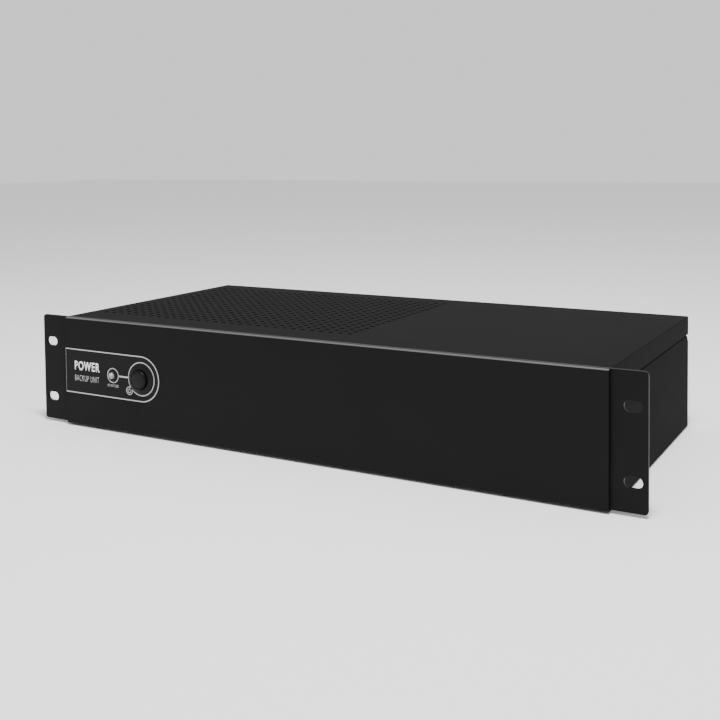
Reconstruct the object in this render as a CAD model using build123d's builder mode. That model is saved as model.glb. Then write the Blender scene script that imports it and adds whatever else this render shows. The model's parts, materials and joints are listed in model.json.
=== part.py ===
from build123d import *
from math import cos, radians, sin
import os

# Nineteen-inch, two-unit rack-mount uninterruptible power supply, millimetres.
# Origin: centre of the floor's underside. +X to the user's right, +Y to the rear, +Z up.

# ---- rack standard and outer case
RACK_WIDTH = 482.6          # over the ears
CASE_WIDTH = 437.6          # between the side walls' outer faces
CASE_DEPTH = 211.3          # back of the front plate to the rear panel
CASE_HEIGHT = 85.2          # floor's underside to the lid's top
SHEET = 1.2                 # floor, walls, rear panel and fascia
LID_SHEET = 1.0
PANEL_SHEET = 2.0           # front plate with the ears
NEST = 0.1                  # clearance between nested sheets
BEND = 1.5                  # outside bend radius
LID_SKIRT = 13.6
REAR_CLIP = 4.5             # walls' upper rear corners clipped off by this much
REAR_CLIP_DROP = 5.6        # the clip's depth below the lid's skirt

# ---- front plate, fascia and label
EAR_BOTTOM = 2.0            # front plate's lower edge above the floor's underside
EAR_SLOT_PITCH_X = 465.1
EAR_SLOT_PITCH_Z = 44.45
EAR_SLOT_LOW_Z = 20.15
EAR_SLOT_LENGTH = 11.2
EAR_SLOT_HEIGHT = 7.0
EAR_CORNER = 2.3
FASCIA_STAND = 3.0          # fascia's face in front of the ears
FASCIA_LEFT = 4.5           # how far the fascia's left end stops inside the case wall
FASCIA_RIGHT = -0.2         # the same at its right end: it covers the wall
FASCIA_DROP = 1.0           # fascia's lower edge below the front plate's
FASCIA_RISE = 0.2           # its upper edge above the front plate's
PLATE_OVER_LID = 0.5        # front plate's upper edge above the lid
FASCIA_BEND = 1.8
LABEL_THICK = 0.3
LABEL_HEIGHT = 34.9

# ---- push-button switch and status lamp
SWITCH_INSET = 77.5         # switch axis from the fascia's left end
SWITCH_Z = 43.9
LAMP_INSET = 49.1           # lamp axis from the fascia's left end
BEZEL_R = 12.0
BEZEL_PROUD = 2.0
BUTTON_R = 7.25
BUTTON_PROUD = 4.45         # in front of the label
BUTTON_GAP = 0.6            # round the button
BUTTON_TRAVEL = 2.5
BUTTON_SKIRT = 3.0          # button's length behind the label's face
STEM_R = 2.0
RUNNING_FIT = 0.05
SWITCH_WALL = 1.6
SPRING_CLOSED = 3.5         # room left for the spring with the button pressed
SWITCH_GUIDE = 3.0
SWITCH_CHAMBER = 9.0        # room behind the guide for the stem's collar
SWITCH_NUT = 3.0
SPRING_WIRE = 0.6
SPRING_TURNS = 3.5
BLADE_WIDTH = 4.8
BLADE_THICK = 0.8
BLADE_LENGTH = 8.0
COLLAR = 1.5                # collar on the button's stem
COLLAR_GAP = 0.3            # collar to the guide at rest
LAMP_R = 2.6
LAMP_PROUD = 4.4
LAMP_RIM_R = 2.9
HOLDER_RIM_R = 4.7
HOLDER_PROUD = 1.2
HOLDER_WALL = 0.9
HOLE_FIT = 0.1
LEAD_WIRE = 0.5             # square leads of the lamp

# ---- batteries
BATTERY_COUNT = 2
BATTERY_LENGTH = 151.0
BATTERY_TALL = 94.0         # the case's own height, laid along X
BATTERY_WIDE = 65.0
BATTERY_FRONT = 17.65       # front plate to the batteries
BATTERY_SIDE_GAP = 1.0
BATTERY_SPACE = 7.0         # between the two, for the terminals
BATTERY_PAD = 1.5
BATTERY_RIM = 2.0           # corner radius of the case; the lid's rim stands half of it
TERMINAL_TALL = 6.0
TERMINAL_WIDE = 6.3
TERMINAL_INSET = 13.0       # terminal from the battery's end
TERMINAL_RISE = 50.0        # terminal above the battery's underside
STRAP_WIDTH = 40.0
STRAP_SHEET = 1.5
STRAP_FOOT = 11.0
LEAD_R = 1.5
LEAD_BEND = 6.5

# ---- transformer
CORE_WIDTH = 86.0
CORE_HEIGHT = 72.0
CORE_STACK = 50.0
CORE_LIMB = 14.3            # outer limb and yoke; the middle limb is twice it
COIL_OVERHANG = 13.0
COIL_GAP = 0.2
CLAMP_SHEET = 1.5
CLAMP_FOOT = 12.0
CLAMP_WIDTH = 38.0
TRANSFORMER_Y = -10.0

# ---- main board
BOARD_WIDTH = 112.0
BOARD_LENGTH = 165.0
BOARD_THICK = 1.6
BOARD_RISE = 8.0            # board above the floor sheet
BOARD_MARGIN = 5.0          # fixing hole from the board's edges
BOARD_FRONT = 10.0          # front plate to the board
BOARD_GAP = 3.0             # transformer clamp to the board
STANDOFF_R = 3.0
SINK_LENGTH = 60.0
SINK_HEIGHT = 45.0
SINK_BASE = 4.0
SINK_FIN = 18.0
SINK_FIN_THICK = 1.6
SINK_FINS = 6
SINK_SPACE = 14.0           # between the two heatsinks' flat faces
TRANSISTOR_THICK = 4.8
TRANSISTOR_WIDE = 10.0
TRANSISTOR_TALL = 20.0
LEG_HEIGHT = 6.0
CAPACITOR_R = 11.0
CAPACITOR_TALL = 40.0
CAPACITOR_SPOTS = [(16.0, 112.0), (16.0, 138.0)]
CHOKE_SPOT = (88.0, 105.0)
CHOKE_R = 15.0
CHOKE_HOLE_R = 6.0
CHOKE_TALL = 14.0
BUZZER_SPOT = (14.0, 18.0)
BUZZER_R = 6.0
BUZZER_TALL = 9.5
RELAY_SIZE = (15.5, 19.5, 16.0)
RELAY_SPOTS = [(42.0, 106.0), (42.0, 128.0), (62.0, 106.0)]
CHIP_SIZE = (14.0, 14.0, 2.0)
CHIP_SPOTS = [(36.0, 8.5), (60.0, 8.5)]
CONNECTOR_SIZE = (9.0, 9.0, 12.0)
CONNECTOR_SPOTS = [(104.0, 132.0), (104.0, 150.0)]
FUSE_SIZE = (9.0, 20.0, 12.0)
FUSE_SPOTS = [(84.0, 138.0)]

# ---- rear services
OUTLET_COUNT = 4
OUTLET_PITCH = 40.0
OUTLET_FIRST = 55.0         # first outlet from the case's middle
SOCKET_Z = 50.0
SOCKET_WIDTH = 27.6
SOCKET_HEIGHT = 20.4
SOCKET_DEPTH = 22.0
SOCKET_RIM = 2.6
SOCKET_RIM_THICK = 1.6
RECESS_WIDTH = 24.4
RECESS_HEIGHT = 16.8
RECESS_DEPTH = 16.5
RECESS_CHAMFER = 4.0
OUTLET_CORE_GAP = 1.9
PIN_PITCH = 14.0            # between the live and neutral pins
PIN_DROP = 2.0              # live and neutral below the middle, earth above it
PIN_THICK = 2.0
PIN_WIDE = 4.0
PIN_LENGTH = 15.0
INLET_X = -4.0
INLET_EAR = 11.0
BREAKER_X = -50.0
BREAKER_BUSH_R = 5.4
BREAKER_BUTTON_R = 3.4
BREAKER_PROUD = 7.0
BREAKER_TRAVEL = 3.0
BREAKER_BODY = 14.0
BREAKER_TALL = 32.0
BREAKER_DEPTH = 28.0
BREAKER_NOSE = 6.0          # bush outside the rear panel
BREAKER_CHAMBER = 9.0
COMMS_X = -102.0
COMMS_RISE = 30.0
COMMS_WIDTH = 62.0
COMMS_LENGTH = 26.0
PORT_DEPTH = 14.0
PORT_SPACE = 4.0            # data jack to the USB port
JACK_WIDTH = 33.0
JACK_HEIGHT = 14.0
JACK_PITCH = 15.6
JACK_HOLE_WIDTH = 11.8
JACK_HOLE_HEIGHT = 8.4
JACK_HOLE_DEPTH = 11.0
USB_WIDTH = 12.0
USB_HEIGHT = 11.0
USB_HOLE_WIDTH = 8.8
USB_HOLE_HEIGHT = 7.8
USB_TONGUE = 3.2
EARTH_X = 26.0
EARTH_Z = 20.0
EARTH_R = 2.0
EARTH_TAIL = 9.0
EARTH_WASHER_R = 4.4

# ---- exhaust fan
FAN_SIZE = 60.0
FAN_DEPTH = 25.0
FAN_HOLE_PITCH = 50.0
FAN_BORE_R = 28.6
FAN_TIP_GAP = 1.0
FAN_HUB_R = 15.0
FAN_SPINDLE_R = 2.5
FAN_STATOR = 4.0
FAN_BLADES = 7
FAN_BLADE_CHORD = 17.0
FAN_BLADE_THICK = 1.4
FAN_BLADE_ANGLE = 38.0
FAN_SIDE_GAP = 12.0         # fan frame to the left wall
FAN_Z = 42.0
GUARD_WIRE = 1.6
GUARD_RINGS = 4
FAN_SCREW_BITE = 10.0

# ---- lid vents
VENT_R = 2.0
VENT_PITCH_X = 7.9
VENT_PITCH_Y = 8.3
VENT_COLUMNS = 30
VENT_ROWS = 20
VENT_LEFT = 13.8            # left wall to the first column
VENT_FRONT = 31.5           # front plate to the first row

# ---- screws
SCREW_R = 1.5
SCREW_HEAD_R = 2.9
SCREW_HEAD = 1.4
NUT_R = 3.2
NUT_THICK = 2.4
FLANGE = 14.0               # width of the folded joining flanges
PLATE_SCREW_INSET = 11.0    # wall to the front plate's screws
PLATE_SCREW_EDGE = 12.0     # the same screws from the floor's underside and from the skirt
LID_FRONT_INSET = 98.5      # wall to the lid's front screws
LID_REAR_INSET = 43.8       # wall to the lid's outer rear screws
STUD_INSET = 39.4           # wall to the fascia's studs
STUD_LOW_Z = 24.0
STUD_SKIRT_GAP = 10.0       # upper studs below the lid's skirt
STUD_TAIL = 4.0

# ---- places worked out from the sizes above
WALL_X = CASE_WIDTH / 2
FRONT_Y = -CASE_DEPTH / 2
REAR_Y = CASE_DEPTH / 2
EAR_Y = FRONT_Y - PANEL_SHEET
FASCIA_Y = EAR_Y - FASCIA_STAND
LABEL_Y = FASCIA_Y - LABEL_THICK
PANEL_IN_Y = REAR_Y - SHEET
JOG = LID_SHEET + NEST
SKIRT_Z = CASE_HEIGHT - LID_SKIRT
JOG_Z = SKIRT_Z - JOG - NEST
WALL_TOP = CASE_HEIGHT - LID_SHEET - SHEET
EAR_TOP = CASE_HEIGHT + PLATE_OVER_LID
EAR_HEIGHT = EAR_TOP - EAR_BOTTOM
EAR_SLOT_Z = EAR_SLOT_LOW_Z + EAR_SLOT_PITCH_Z / 2
FASCIA_X0 = -WALL_X + FASCIA_LEFT
FASCIA_X1 = WALL_X - FASCIA_RIGHT
FASCIA_Z0 = EAR_BOTTOM - FASCIA_DROP
FASCIA_Z1 = EAR_TOP + FASCIA_RISE
SWITCH_X = FASCIA_X0 + SWITCH_INSET
LAMP_X = FASCIA_X0 + LAMP_INSET
CAVITY_R = BUTTON_R + BUTTON_GAP
SWITCH_FLOOR = BUTTON_SKIRT + BUTTON_TRAVEL + SPRING_CLOSED
BARREL_R = CAVITY_R + SWITCH_WALL
HOLDER_R = LAMP_RIM_R + RUNNING_FIT + HOLDER_WALL
BATTERY_Y = FRONT_Y + BATTERY_FRONT + BATTERY_LENGTH / 2
BATTERY_Z0 = SHEET + BATTERY_PAD
BATTERY_X1 = WALL_X - JOG - SHEET - BATTERY_SIDE_GAP
CORE_X = -WALL_X + SHEET + BEND + CLAMP_FOOT + CLAMP_SHEET + CORE_WIDTH / 2
BOARD_X0 = CORE_X + CORE_WIDTH / 2 + CLAMP_SHEET + BOARD_GAP
BOARD_Y0 = FRONT_Y + BOARD_FRONT
BOARD_TOP = SHEET + BOARD_RISE + BOARD_THICK
SINK_X = BOARD_X0 + BOARD_WIDTH / 2
SINK_Y = BOARD_Y0 + BOARD_MARGIN + 4 * STANDOFF_R + SINK_LENGTH / 2
CONNECTOR_X = BOARD_X0 + CONNECTOR_SPOTS[0][0]
CONNECTOR_YS = [BOARD_Y0 + along for _, along in CONNECTOR_SPOTS]
CONNECTOR_HEIGHT = CONNECTOR_SIZE[2]
FAN_X = -WALL_X + SHEET + JOG + FAN_SIDE_GAP + FAN_SIZE / 2
COMMS_Z = SHEET + COMMS_RISE
USB_X = COMMS_X + USB_WIDTH / 2 + PORT_SPACE

PLATE_SCREW_X = WALL_X - PLATE_SCREW_INSET
PLATE_SCREW_ZS = (PLATE_SCREW_EDGE, SKIRT_Z - PLATE_SCREW_EDGE)
PLATE_SCREWS = [(side * PLATE_SCREW_X, z) for side in (-1, 1) for z in PLATE_SCREW_ZS]
LID_SCREW_Z = SKIRT_Z + LID_SKIRT / 2
LID_FRONT_SCREWS = [(side * (WALL_X - LID_FRONT_INSET), LID_SCREW_Z) for side in (-1, 1)]
LID_REAR_SCREWS = [(side * (WALL_X - LID_REAR_INSET), LID_SCREW_Z) for side in (-1, 0, 1)]
STUD_X = WALL_X - STUD_INSET
STUDS = [(side * STUD_X, z) for side in (-1, 1) for z in (STUD_LOW_Z, SKIRT_Z - STUD_SKIRT_GAP)]
OUTLETS = [OUTLET_FIRST + n * OUTLET_PITCH for n in range(OUTLET_COUNT)]
INLET_SCREWS = [INLET_X - SOCKET_WIDTH / 2 - INLET_EAR / 2, INLET_X + SOCKET_WIDTH / 2 + INLET_EAR / 2]


def facing(y):
    """Plane across the case at depth y: sketch x is X, sketch y is Z, its normal points to the front."""
    return Plane.XZ.offset(-y)


def radial(x, z):
    """Plane through a front-to-rear axis: sketch x is the radius, sketch y is Y."""
    return Plane(origin=(x, 0, z), x_dir=(1, 0, 0), z_dir=(0, 0, 1))


def spin(x, z):
    """Front-to-rear axis at (x, z)."""
    return Axis((x, 0, z), (0, 1, 0))


def battery_left_x(index):
    """Lower X of a battery, counted from the right wall."""
    return BATTERY_X1 - BATTERY_TALL - index * (BATTERY_TALL + BATTERY_SPACE)


# ---------------------------------------------------------------- enclosure

def make_base_tray():
    """Floor and side walls of one sheet, joggled inwards behind the lid's skirt, with joining flanges."""
    wall = [(WALL_X - JOG, WALL_TOP), (WALL_X - JOG, JOG_Z + JOG), (WALL_X, JOG_Z), (WALL_X, 0)]
    path = wall + [(-x, z) for x, z in reversed(wall)]
    with BuildPart() as base_tray:
        with BuildSketch(facing(0)):
            with BuildLine():
                FilletPolyline(*path, radius=[NEST, NEST, BEND, BEND, NEST, NEST])
                offset(amount=SHEET, side=Side.RIGHT)
            make_face()
        extrude(amount=CASE_DEPTH / 2, both=True)
        with BuildSketch(facing(FRONT_Y)):
            for side in (-1, 1):
                with Locations((side * (WALL_X - SHEET - FLANGE / 2), JOG_Z / 2)):
                    Rectangle(FLANGE, JOG_Z - 2 * BEND - 2 * NEST)
            with Locations((0, SHEET + FLANGE / 2)):
                Rectangle(CASE_WIDTH - 4 * FLANGE, FLANGE)
        extrude(amount=-SHEET)
        with BuildSketch(Plane.YZ.offset(-WALL_X)):
            with Locations((FRONT_Y, SKIRT_Z - NEST)):
                Rectangle(LID_SHEET + NEST, LID_SKIRT, align=(Align.MIN, Align.MIN))
            with BuildLine():
                Polyline(
                    (REAR_Y - REAR_CLIP, WALL_TOP + SHEET),
                    (REAR_Y - REAR_CLIP, SKIRT_Z),
                    (REAR_Y, SKIRT_Z - REAR_CLIP_DROP),
                    (REAR_Y + SHEET, SKIRT_Z - REAR_CLIP_DROP),
                    (REAR_Y + SHEET, WALL_TOP + SHEET),
                    close=True,
                )
            make_face()
        extrude(amount=CASE_WIDTH, mode=Mode.SUBTRACT)
        with BuildSketch(facing(FRONT_Y - SHEET)):
            with Locations(*PLATE_SCREWS):
                Circle(SCREW_R)
        extrude(amount=-3 * SHEET, mode=Mode.SUBTRACT)
    base_tray.part.label = "base_tray"
    export_step(base_tray.part, "parts/base_tray.step")


def make_rear_panel():
    """Plate between the walls, stepped in where they joggle, with welding flanges and service cut-outs."""
    low_x = WALL_X - SHEET
    high_x = WALL_X - JOG - SHEET
    step_z = JOG_Z - SHEET
    with BuildPart() as rear_panel:
        with BuildSketch(facing(PANEL_IN_Y)) as outline:
            with Locations((0, SHEET)):
                Rectangle(2 * low_x, step_z - SHEET, align=(Align.CENTER, Align.MIN))
            fillet(outline.vertices().group_by(Axis.Y)[0], BEND)
            with Locations((0, SHEET)):
                Rectangle(2 * high_x, WALL_TOP - SHEET, align=(Align.CENTER, Align.MIN))
        extrude(amount=-SHEET)
        with BuildSketch(facing(PANEL_IN_Y - FLANGE)):
            with Locations((0, SHEET)):
                Rectangle(2 * low_x - 4 * FLANGE, SHEET, align=(Align.CENTER, Align.MIN))
            for side in (-1, 1):
                with Locations((side * (low_x - SHEET / 2), step_z / 2)):
                    Rectangle(SHEET, step_z - 4 * SHEET)
        extrude(amount=-FLANGE)
        with BuildSketch(facing(PANEL_IN_Y - SHEET)):
            with Locations(*[(x, SOCKET_Z) for x in OUTLETS + [INLET_X]]):
                Rectangle(SOCKET_WIDTH + 2 * HOLE_FIT, SOCKET_HEIGHT + 2 * HOLE_FIT)
            with Locations(*[(x, SOCKET_Z) for x in INLET_SCREWS], *LID_REAR_SCREWS):
                Circle(SCREW_R)
            with Locations((BREAKER_X, SOCKET_Z)):
                Circle(BREAKER_BUSH_R + HOLE_FIT)
            with Locations((COMMS_X - JACK_WIDTH / 2, COMMS_Z + BOARD_THICK + JACK_HEIGHT / 2)):
                Rectangle(JACK_WIDTH + 2 * HOLE_FIT, JACK_HEIGHT + 2 * HOLE_FIT)
            with Locations((USB_X, COMMS_Z + BOARD_THICK + USB_HEIGHT / 2)):
                Rectangle(USB_WIDTH + 2 * HOLE_FIT, USB_HEIGHT + 2 * HOLE_FIT)
            with Locations((EARTH_X, EARTH_Z)):
                Circle(EARTH_R)
            with Locations((FAN_X, FAN_Z)):
                Circle(FAN_BORE_R)
                with GridLocations(FAN_HOLE_PITCH, FAN_HOLE_PITCH, 2, 2):
                    Circle(SCREW_R + HOLE_FIT)
        extrude(amount=-3 * SHEET, mode=Mode.SUBTRACT)
    rear_panel.part.label = "rear_panel"
    export_step(rear_panel.part, "parts/rear_panel.step")


def make_lid():
    """Shallow pressed cover with a skirt on all four sides and a field of round vents."""
    with BuildPart() as lid:
        with BuildSketch(Plane.XY.offset(SKIRT_Z)):
            with Locations((0, FRONT_Y)):
                Rectangle(CASE_WIDTH, CASE_DEPTH + LID_SHEET, align=(Align.CENTER, Align.MIN))
        extrude(amount=LID_SKIRT)
        with BuildSketch(Plane.XY.offset(SKIRT_Z)):
            with Locations((0, FRONT_Y + LID_SHEET)):
                Rectangle(
                    CASE_WIDTH - 2 * LID_SHEET,
                    CASE_DEPTH - LID_SHEET,
                    align=(Align.CENTER, Align.MIN),
                )
        extrude(amount=LID_SKIRT - LID_SHEET, mode=Mode.SUBTRACT)
        rear_corners = lid.edges().filter_by(Axis.Z).group_by(Axis.Y)[-1]
        top_edges = lid.faces().sort_by(Axis.Z)[-1].edges().group_by(Axis.Y)[1:]
        fillet(rear_corners + top_edges[0] + top_edges[1], LID_SHEET)
        with BuildSketch(Plane.XY.offset(CASE_HEIGHT - 2 * LID_SHEET)):
            first = (-WALL_X + VENT_LEFT, FRONT_Y + VENT_FRONT)
            with Locations(first):
                with GridLocations(
                    VENT_PITCH_X, VENT_PITCH_Y, VENT_COLUMNS, VENT_ROWS, align=(Align.MIN, Align.MIN)
                ):
                    Circle(VENT_R)
        extrude(amount=3 * LID_SHEET, mode=Mode.SUBTRACT)
        with BuildSketch(facing(FRONT_Y - LID_SHEET)):
            with Locations(*LID_FRONT_SCREWS):
                Circle(SCREW_R)
        extrude(amount=-3 * LID_SHEET, mode=Mode.SUBTRACT)
        with BuildSketch(facing(REAR_Y - LID_SHEET)):
            with Locations(*LID_REAR_SCREWS):
                Circle(SCREW_R)
        extrude(amount=-3 * LID_SHEET, mode=Mode.SUBTRACT)
    lid.part.label = "lid"
    export_step(lid.part, "parts/lid.step")


def make_front_plate():
    """Two-unit rack panel: both ears with their obround slots, and the holes that the fascia hides."""
    with BuildPart() as front_plate:
        with BuildSketch(facing(EAR_Y)):
            with Locations((0, EAR_BOTTOM + EAR_HEIGHT / 2)):
                RectangleRounded(RACK_WIDTH, EAR_HEIGHT, EAR_CORNER)
            with Locations((0, EAR_SLOT_Z)):
                with GridLocations(EAR_SLOT_PITCH_X, EAR_SLOT_PITCH_Z, 2, 2):
                    SlotOverall(EAR_SLOT_LENGTH, EAR_SLOT_HEIGHT, mode=Mode.SUBTRACT)
            with Locations(*PLATE_SCREWS, *LID_FRONT_SCREWS, *STUDS):
                Circle(SCREW_R, mode=Mode.SUBTRACT)
            with Locations((SWITCH_X, SWITCH_Z)):
                Circle(BARREL_R + HOLE_FIT, mode=Mode.SUBTRACT)
            with Locations((LAMP_X, SWITCH_Z)):
                Circle(HOLDER_R + HOLE_FIT, mode=Mode.SUBTRACT)
        extrude(amount=-PANEL_SHEET)
    front_plate.part.label = "front_plate"
    export_step(front_plate.part, "parts/front_plate.step")


def make_fascia():
    """Cover folded back along its top and bottom, open at its ends, with four welded studs."""
    with BuildPart() as fascia:
        with BuildSketch(Plane.YZ.offset(FASCIA_X0)):
            with BuildLine():
                FilletPolyline(
                    (EAR_Y, FASCIA_Z1),
                    (FASCIA_Y, FASCIA_Z1),
                    (FASCIA_Y, FASCIA_Z0),
                    (EAR_Y, FASCIA_Z0),
                    radius=FASCIA_BEND,
                )
                offset(amount=SHEET, side=Side.LEFT)
            make_face()
        extrude(amount=FASCIA_X1 - FASCIA_X0)
        with BuildSketch(facing(FASCIA_Y - SHEET)):
            with Locations((SWITCH_X, SWITCH_Z)):
                Circle(BARREL_R + HOLE_FIT)
            with Locations((LAMP_X, SWITCH_Z)):
                Circle(HOLDER_R + HOLE_FIT)
        extrude(amount=-3 * SHEET, mode=Mode.SUBTRACT)
        with BuildSketch(facing(FASCIA_Y + SHEET)):
            with Locations(*STUDS):
                Circle(SCREW_R)
        extrude(amount=-(FASCIA_STAND - SHEET + PANEL_SHEET + STUD_TAIL))
    fascia.part.label = "fascia"
    export_step(fascia.part, "parts/fascia.step")


def make_label_overlay():
    """Thin plastic film: square at the fascia's left end, round about the button at the other."""
    with BuildPart() as label_overlay:
        with BuildSketch(facing(FASCIA_Y)):
            with Locations((FASCIA_X0, SWITCH_Z)):
                Rectangle(SWITCH_INSET, LABEL_HEIGHT, align=(Align.MIN, Align.CENTER))
            with Locations((SWITCH_X, SWITCH_Z)):
                Circle(LABEL_HEIGHT / 2)
                Circle(BARREL_R + HOLE_FIT, mode=Mode.SUBTRACT)
            with Locations((LAMP_X, SWITCH_Z)):
                Circle(HOLDER_R + HOLE_FIT, mode=Mode.SUBTRACT)
        extrude(amount=LABEL_THICK)
    label_overlay.part.label = "label_overlay"
    export_step(label_overlay.part, "parts/label_overlay.step")


def make_screws(name, points, head_y, shank, side):
    """Low-head screws along Y: heads on the plane at head_y, on the side given, shanks the other way."""
    with BuildPart() as screws:
        with BuildSketch(facing(head_y)):
            with Locations(*points):
                Circle(SCREW_HEAD_R)
        extrude(amount=-side * SCREW_HEAD)
        heads = screws.faces().sort_by(Axis.Y, reverse=side > 0).group_by(Axis.Y, reverse=side > 0)[0]
        fillet(heads.edges(), SCREW_HEAD / 3)
        with BuildSketch(facing(head_y)):
            with Locations(*points):
                Circle(SCREW_R)
        extrude(amount=side * shank)
    screws.part.label = name
    export_step(screws.part, f"parts/{name}.step")


def make_fascia_nuts():
    """Hexagon nuts on the fascia's studs, behind the front plate."""
    with BuildPart() as fascia_nuts:
        with BuildSketch(facing(FRONT_Y)):
            with Locations(*STUDS):
                RegularPolygon(NUT_R, 6)
                Circle(SCREW_R, mode=Mode.SUBTRACT)
        extrude(amount=-NUT_THICK)
    fascia_nuts.part.label = "fascia_nuts"
    export_step(fascia_nuts.part, "parts/fascia_nuts.step")


# ---------------------------------------------------------------- switch and lamp

def make_switch_body():
    """Sloped bezel, barrel through the panel, guide for the button's stem and a closed contact chamber."""
    floor_y = LABEL_Y + SWITCH_FLOOR
    chamber_y = floor_y + SWITCH_GUIDE
    end_y = chamber_y + SWITCH_CHAMBER
    rim = BEZEL_PROUD / 4
    with BuildPart() as switch_body:
        with BuildSketch(radial(SWITCH_X, SWITCH_Z)):
            with BuildLine():
                Polyline(
                    (CAVITY_R, LABEL_Y - BEZEL_PROUD),
                    (CAVITY_R + rim, LABEL_Y - BEZEL_PROUD),
                    (BEZEL_R - rim, LABEL_Y - 2 * rim),
                    (BEZEL_R, LABEL_Y - rim),
                    (BEZEL_R, LABEL_Y),
                    (BARREL_R, LABEL_Y),
                    (BARREL_R, end_y + SWITCH_WALL),
                    (0, end_y + SWITCH_WALL),
                    (0, end_y),
                    (CAVITY_R, end_y),
                    (CAVITY_R, chamber_y),
                    (STEM_R + RUNNING_FIT, chamber_y),
                    (STEM_R + RUNNING_FIT, floor_y),
                    (CAVITY_R, floor_y),
                    close=True,
                )
            make_face()
        revolve(axis=spin(SWITCH_X, SWITCH_Z))
        with BuildSketch(facing(end_y)):
            with Locations((SWITCH_X, SWITCH_Z)):
                with GridLocations(BARREL_R, 0, 2, 1):
                    Rectangle(BLADE_THICK, BLADE_WIDTH)
        extrude(amount=-SWITCH_WALL, mode=Mode.SUBTRACT)
    switch_body.part.label = "switch_body"
    export_step(switch_body.part, "parts/switch_body.step")


def make_switch_nut():
    """Flat hexagon nut that clamps the switch behind the front plate."""
    with BuildPart() as switch_nut:
        with BuildSketch(facing(FRONT_Y)):
            with Locations((SWITCH_X, SWITCH_Z)):
                RegularPolygon(BARREL_R + SWITCH_NUT, 6)
                Circle(BARREL_R, mode=Mode.SUBTRACT)
        extrude(amount=-SWITCH_NUT)
    switch_nut.part.label = "switch_nut"
    export_step(switch_nut.part, "parts/switch_nut.step")


def make_power_button():
    """Round cap with a softened edge, and a stem whose collar stops it behind the guide."""
    cap_end = LABEL_Y + BUTTON_SKIRT
    collar_y = LABEL_Y + SWITCH_FLOOR + SWITCH_GUIDE + COLLAR_GAP
    with BuildPart() as power_button:
        with BuildSketch(radial(SWITCH_X, SWITCH_Z)):
            with BuildLine():
                Polyline(
                    (0, LABEL_Y - BUTTON_PROUD),
                    (BUTTON_R, LABEL_Y - BUTTON_PROUD),
                    (BUTTON_R, cap_end),
                    (STEM_R, cap_end),
                    (STEM_R, collar_y),
                    (2 * STEM_R, collar_y),
                    (2 * STEM_R, collar_y + COLLAR),
                    (0, collar_y + COLLAR),
                    close=True,
                )
            make_face()
        revolve(axis=spin(SWITCH_X, SWITCH_Z))
        fillet(power_button.edges().filter_by(GeomType.CIRCLE).sort_by(Axis.Y)[0], BUTTON_R / 8)
    power_button.part.label = "power_button"
    export_step(power_button.part, "parts/power_button.step")


def make_button_spring():
    """Compression spring round the stem, between the cap and the cavity's floor."""
    start_y = LABEL_Y + BUTTON_SKIRT + SPRING_WIRE / 2 + COLLAR_GAP / 2
    length = SWITCH_FLOOR - BUTTON_SKIRT - SPRING_WIRE - COLLAR_GAP
    with BuildPart() as button_spring:
        with BuildLine() as coil:
            Helix(
                pitch=length / SPRING_TURNS,
                height=length,
                radius=(STEM_R + CAVITY_R) / 2,
                center=(SWITCH_X, start_y, SWITCH_Z),
                direction=(0, 1, 0),
            )
        with BuildSketch(Plane(origin=coil.line @ 0, z_dir=coil.line % 0)):
            Circle(SPRING_WIRE / 2)
        sweep(is_frenet=True)
    button_spring.part.label = "button_spring"
    export_step(button_spring.part, "parts/button_spring.step")


def make_switch_terminals():
    """Two blades through the back of the switch."""
    end_y = LABEL_Y + SWITCH_FLOOR + SWITCH_GUIDE + SWITCH_CHAMBER
    with BuildPart() as switch_terminals:
        with BuildSketch(facing(end_y)):
            with Locations((SWITCH_X, SWITCH_Z)):
                with GridLocations(BARREL_R, 0, 2, 1):
                    Rectangle(BLADE_THICK, BLADE_WIDTH)
        extrude(amount=-(SWITCH_WALL + BLADE_LENGTH))
    switch_terminals.part.label = "switch_terminals"
    export_step(switch_terminals.part, "parts/switch_terminals.step")


def make_lamp_holder():
    """Rimmed bush that carries the lamp through the label, fascia and plate."""
    tail_y = FRONT_Y + STUD_TAIL
    bore = LAMP_RIM_R + RUNNING_FIT
    with BuildPart() as lamp_holder:
        with BuildSketch(radial(LAMP_X, SWITCH_Z)):
            with BuildLine():
                Polyline(
                    (LAMP_R + RUNNING_FIT, LABEL_Y - HOLDER_PROUD),
                    (HOLDER_RIM_R - HOLDER_PROUD / 2, LABEL_Y - HOLDER_PROUD),
                    (HOLDER_RIM_R, LABEL_Y - HOLDER_PROUD / 2),
                    (HOLDER_RIM_R, LABEL_Y),
                    (HOLDER_R, LABEL_Y),
                    (HOLDER_R, tail_y),
                    (bore, tail_y),
                    (bore, LABEL_Y + HOLDER_WALL),
                    (LAMP_R + RUNNING_FIT, LABEL_Y + HOLDER_WALL),
                    close=True,
                )
            make_face()
        revolve(axis=spin(LAMP_X, SWITCH_Z))
    lamp_holder.part.label = "lamp_holder"
    export_step(lamp_holder.part, "parts/lamp_holder.step")


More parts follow.
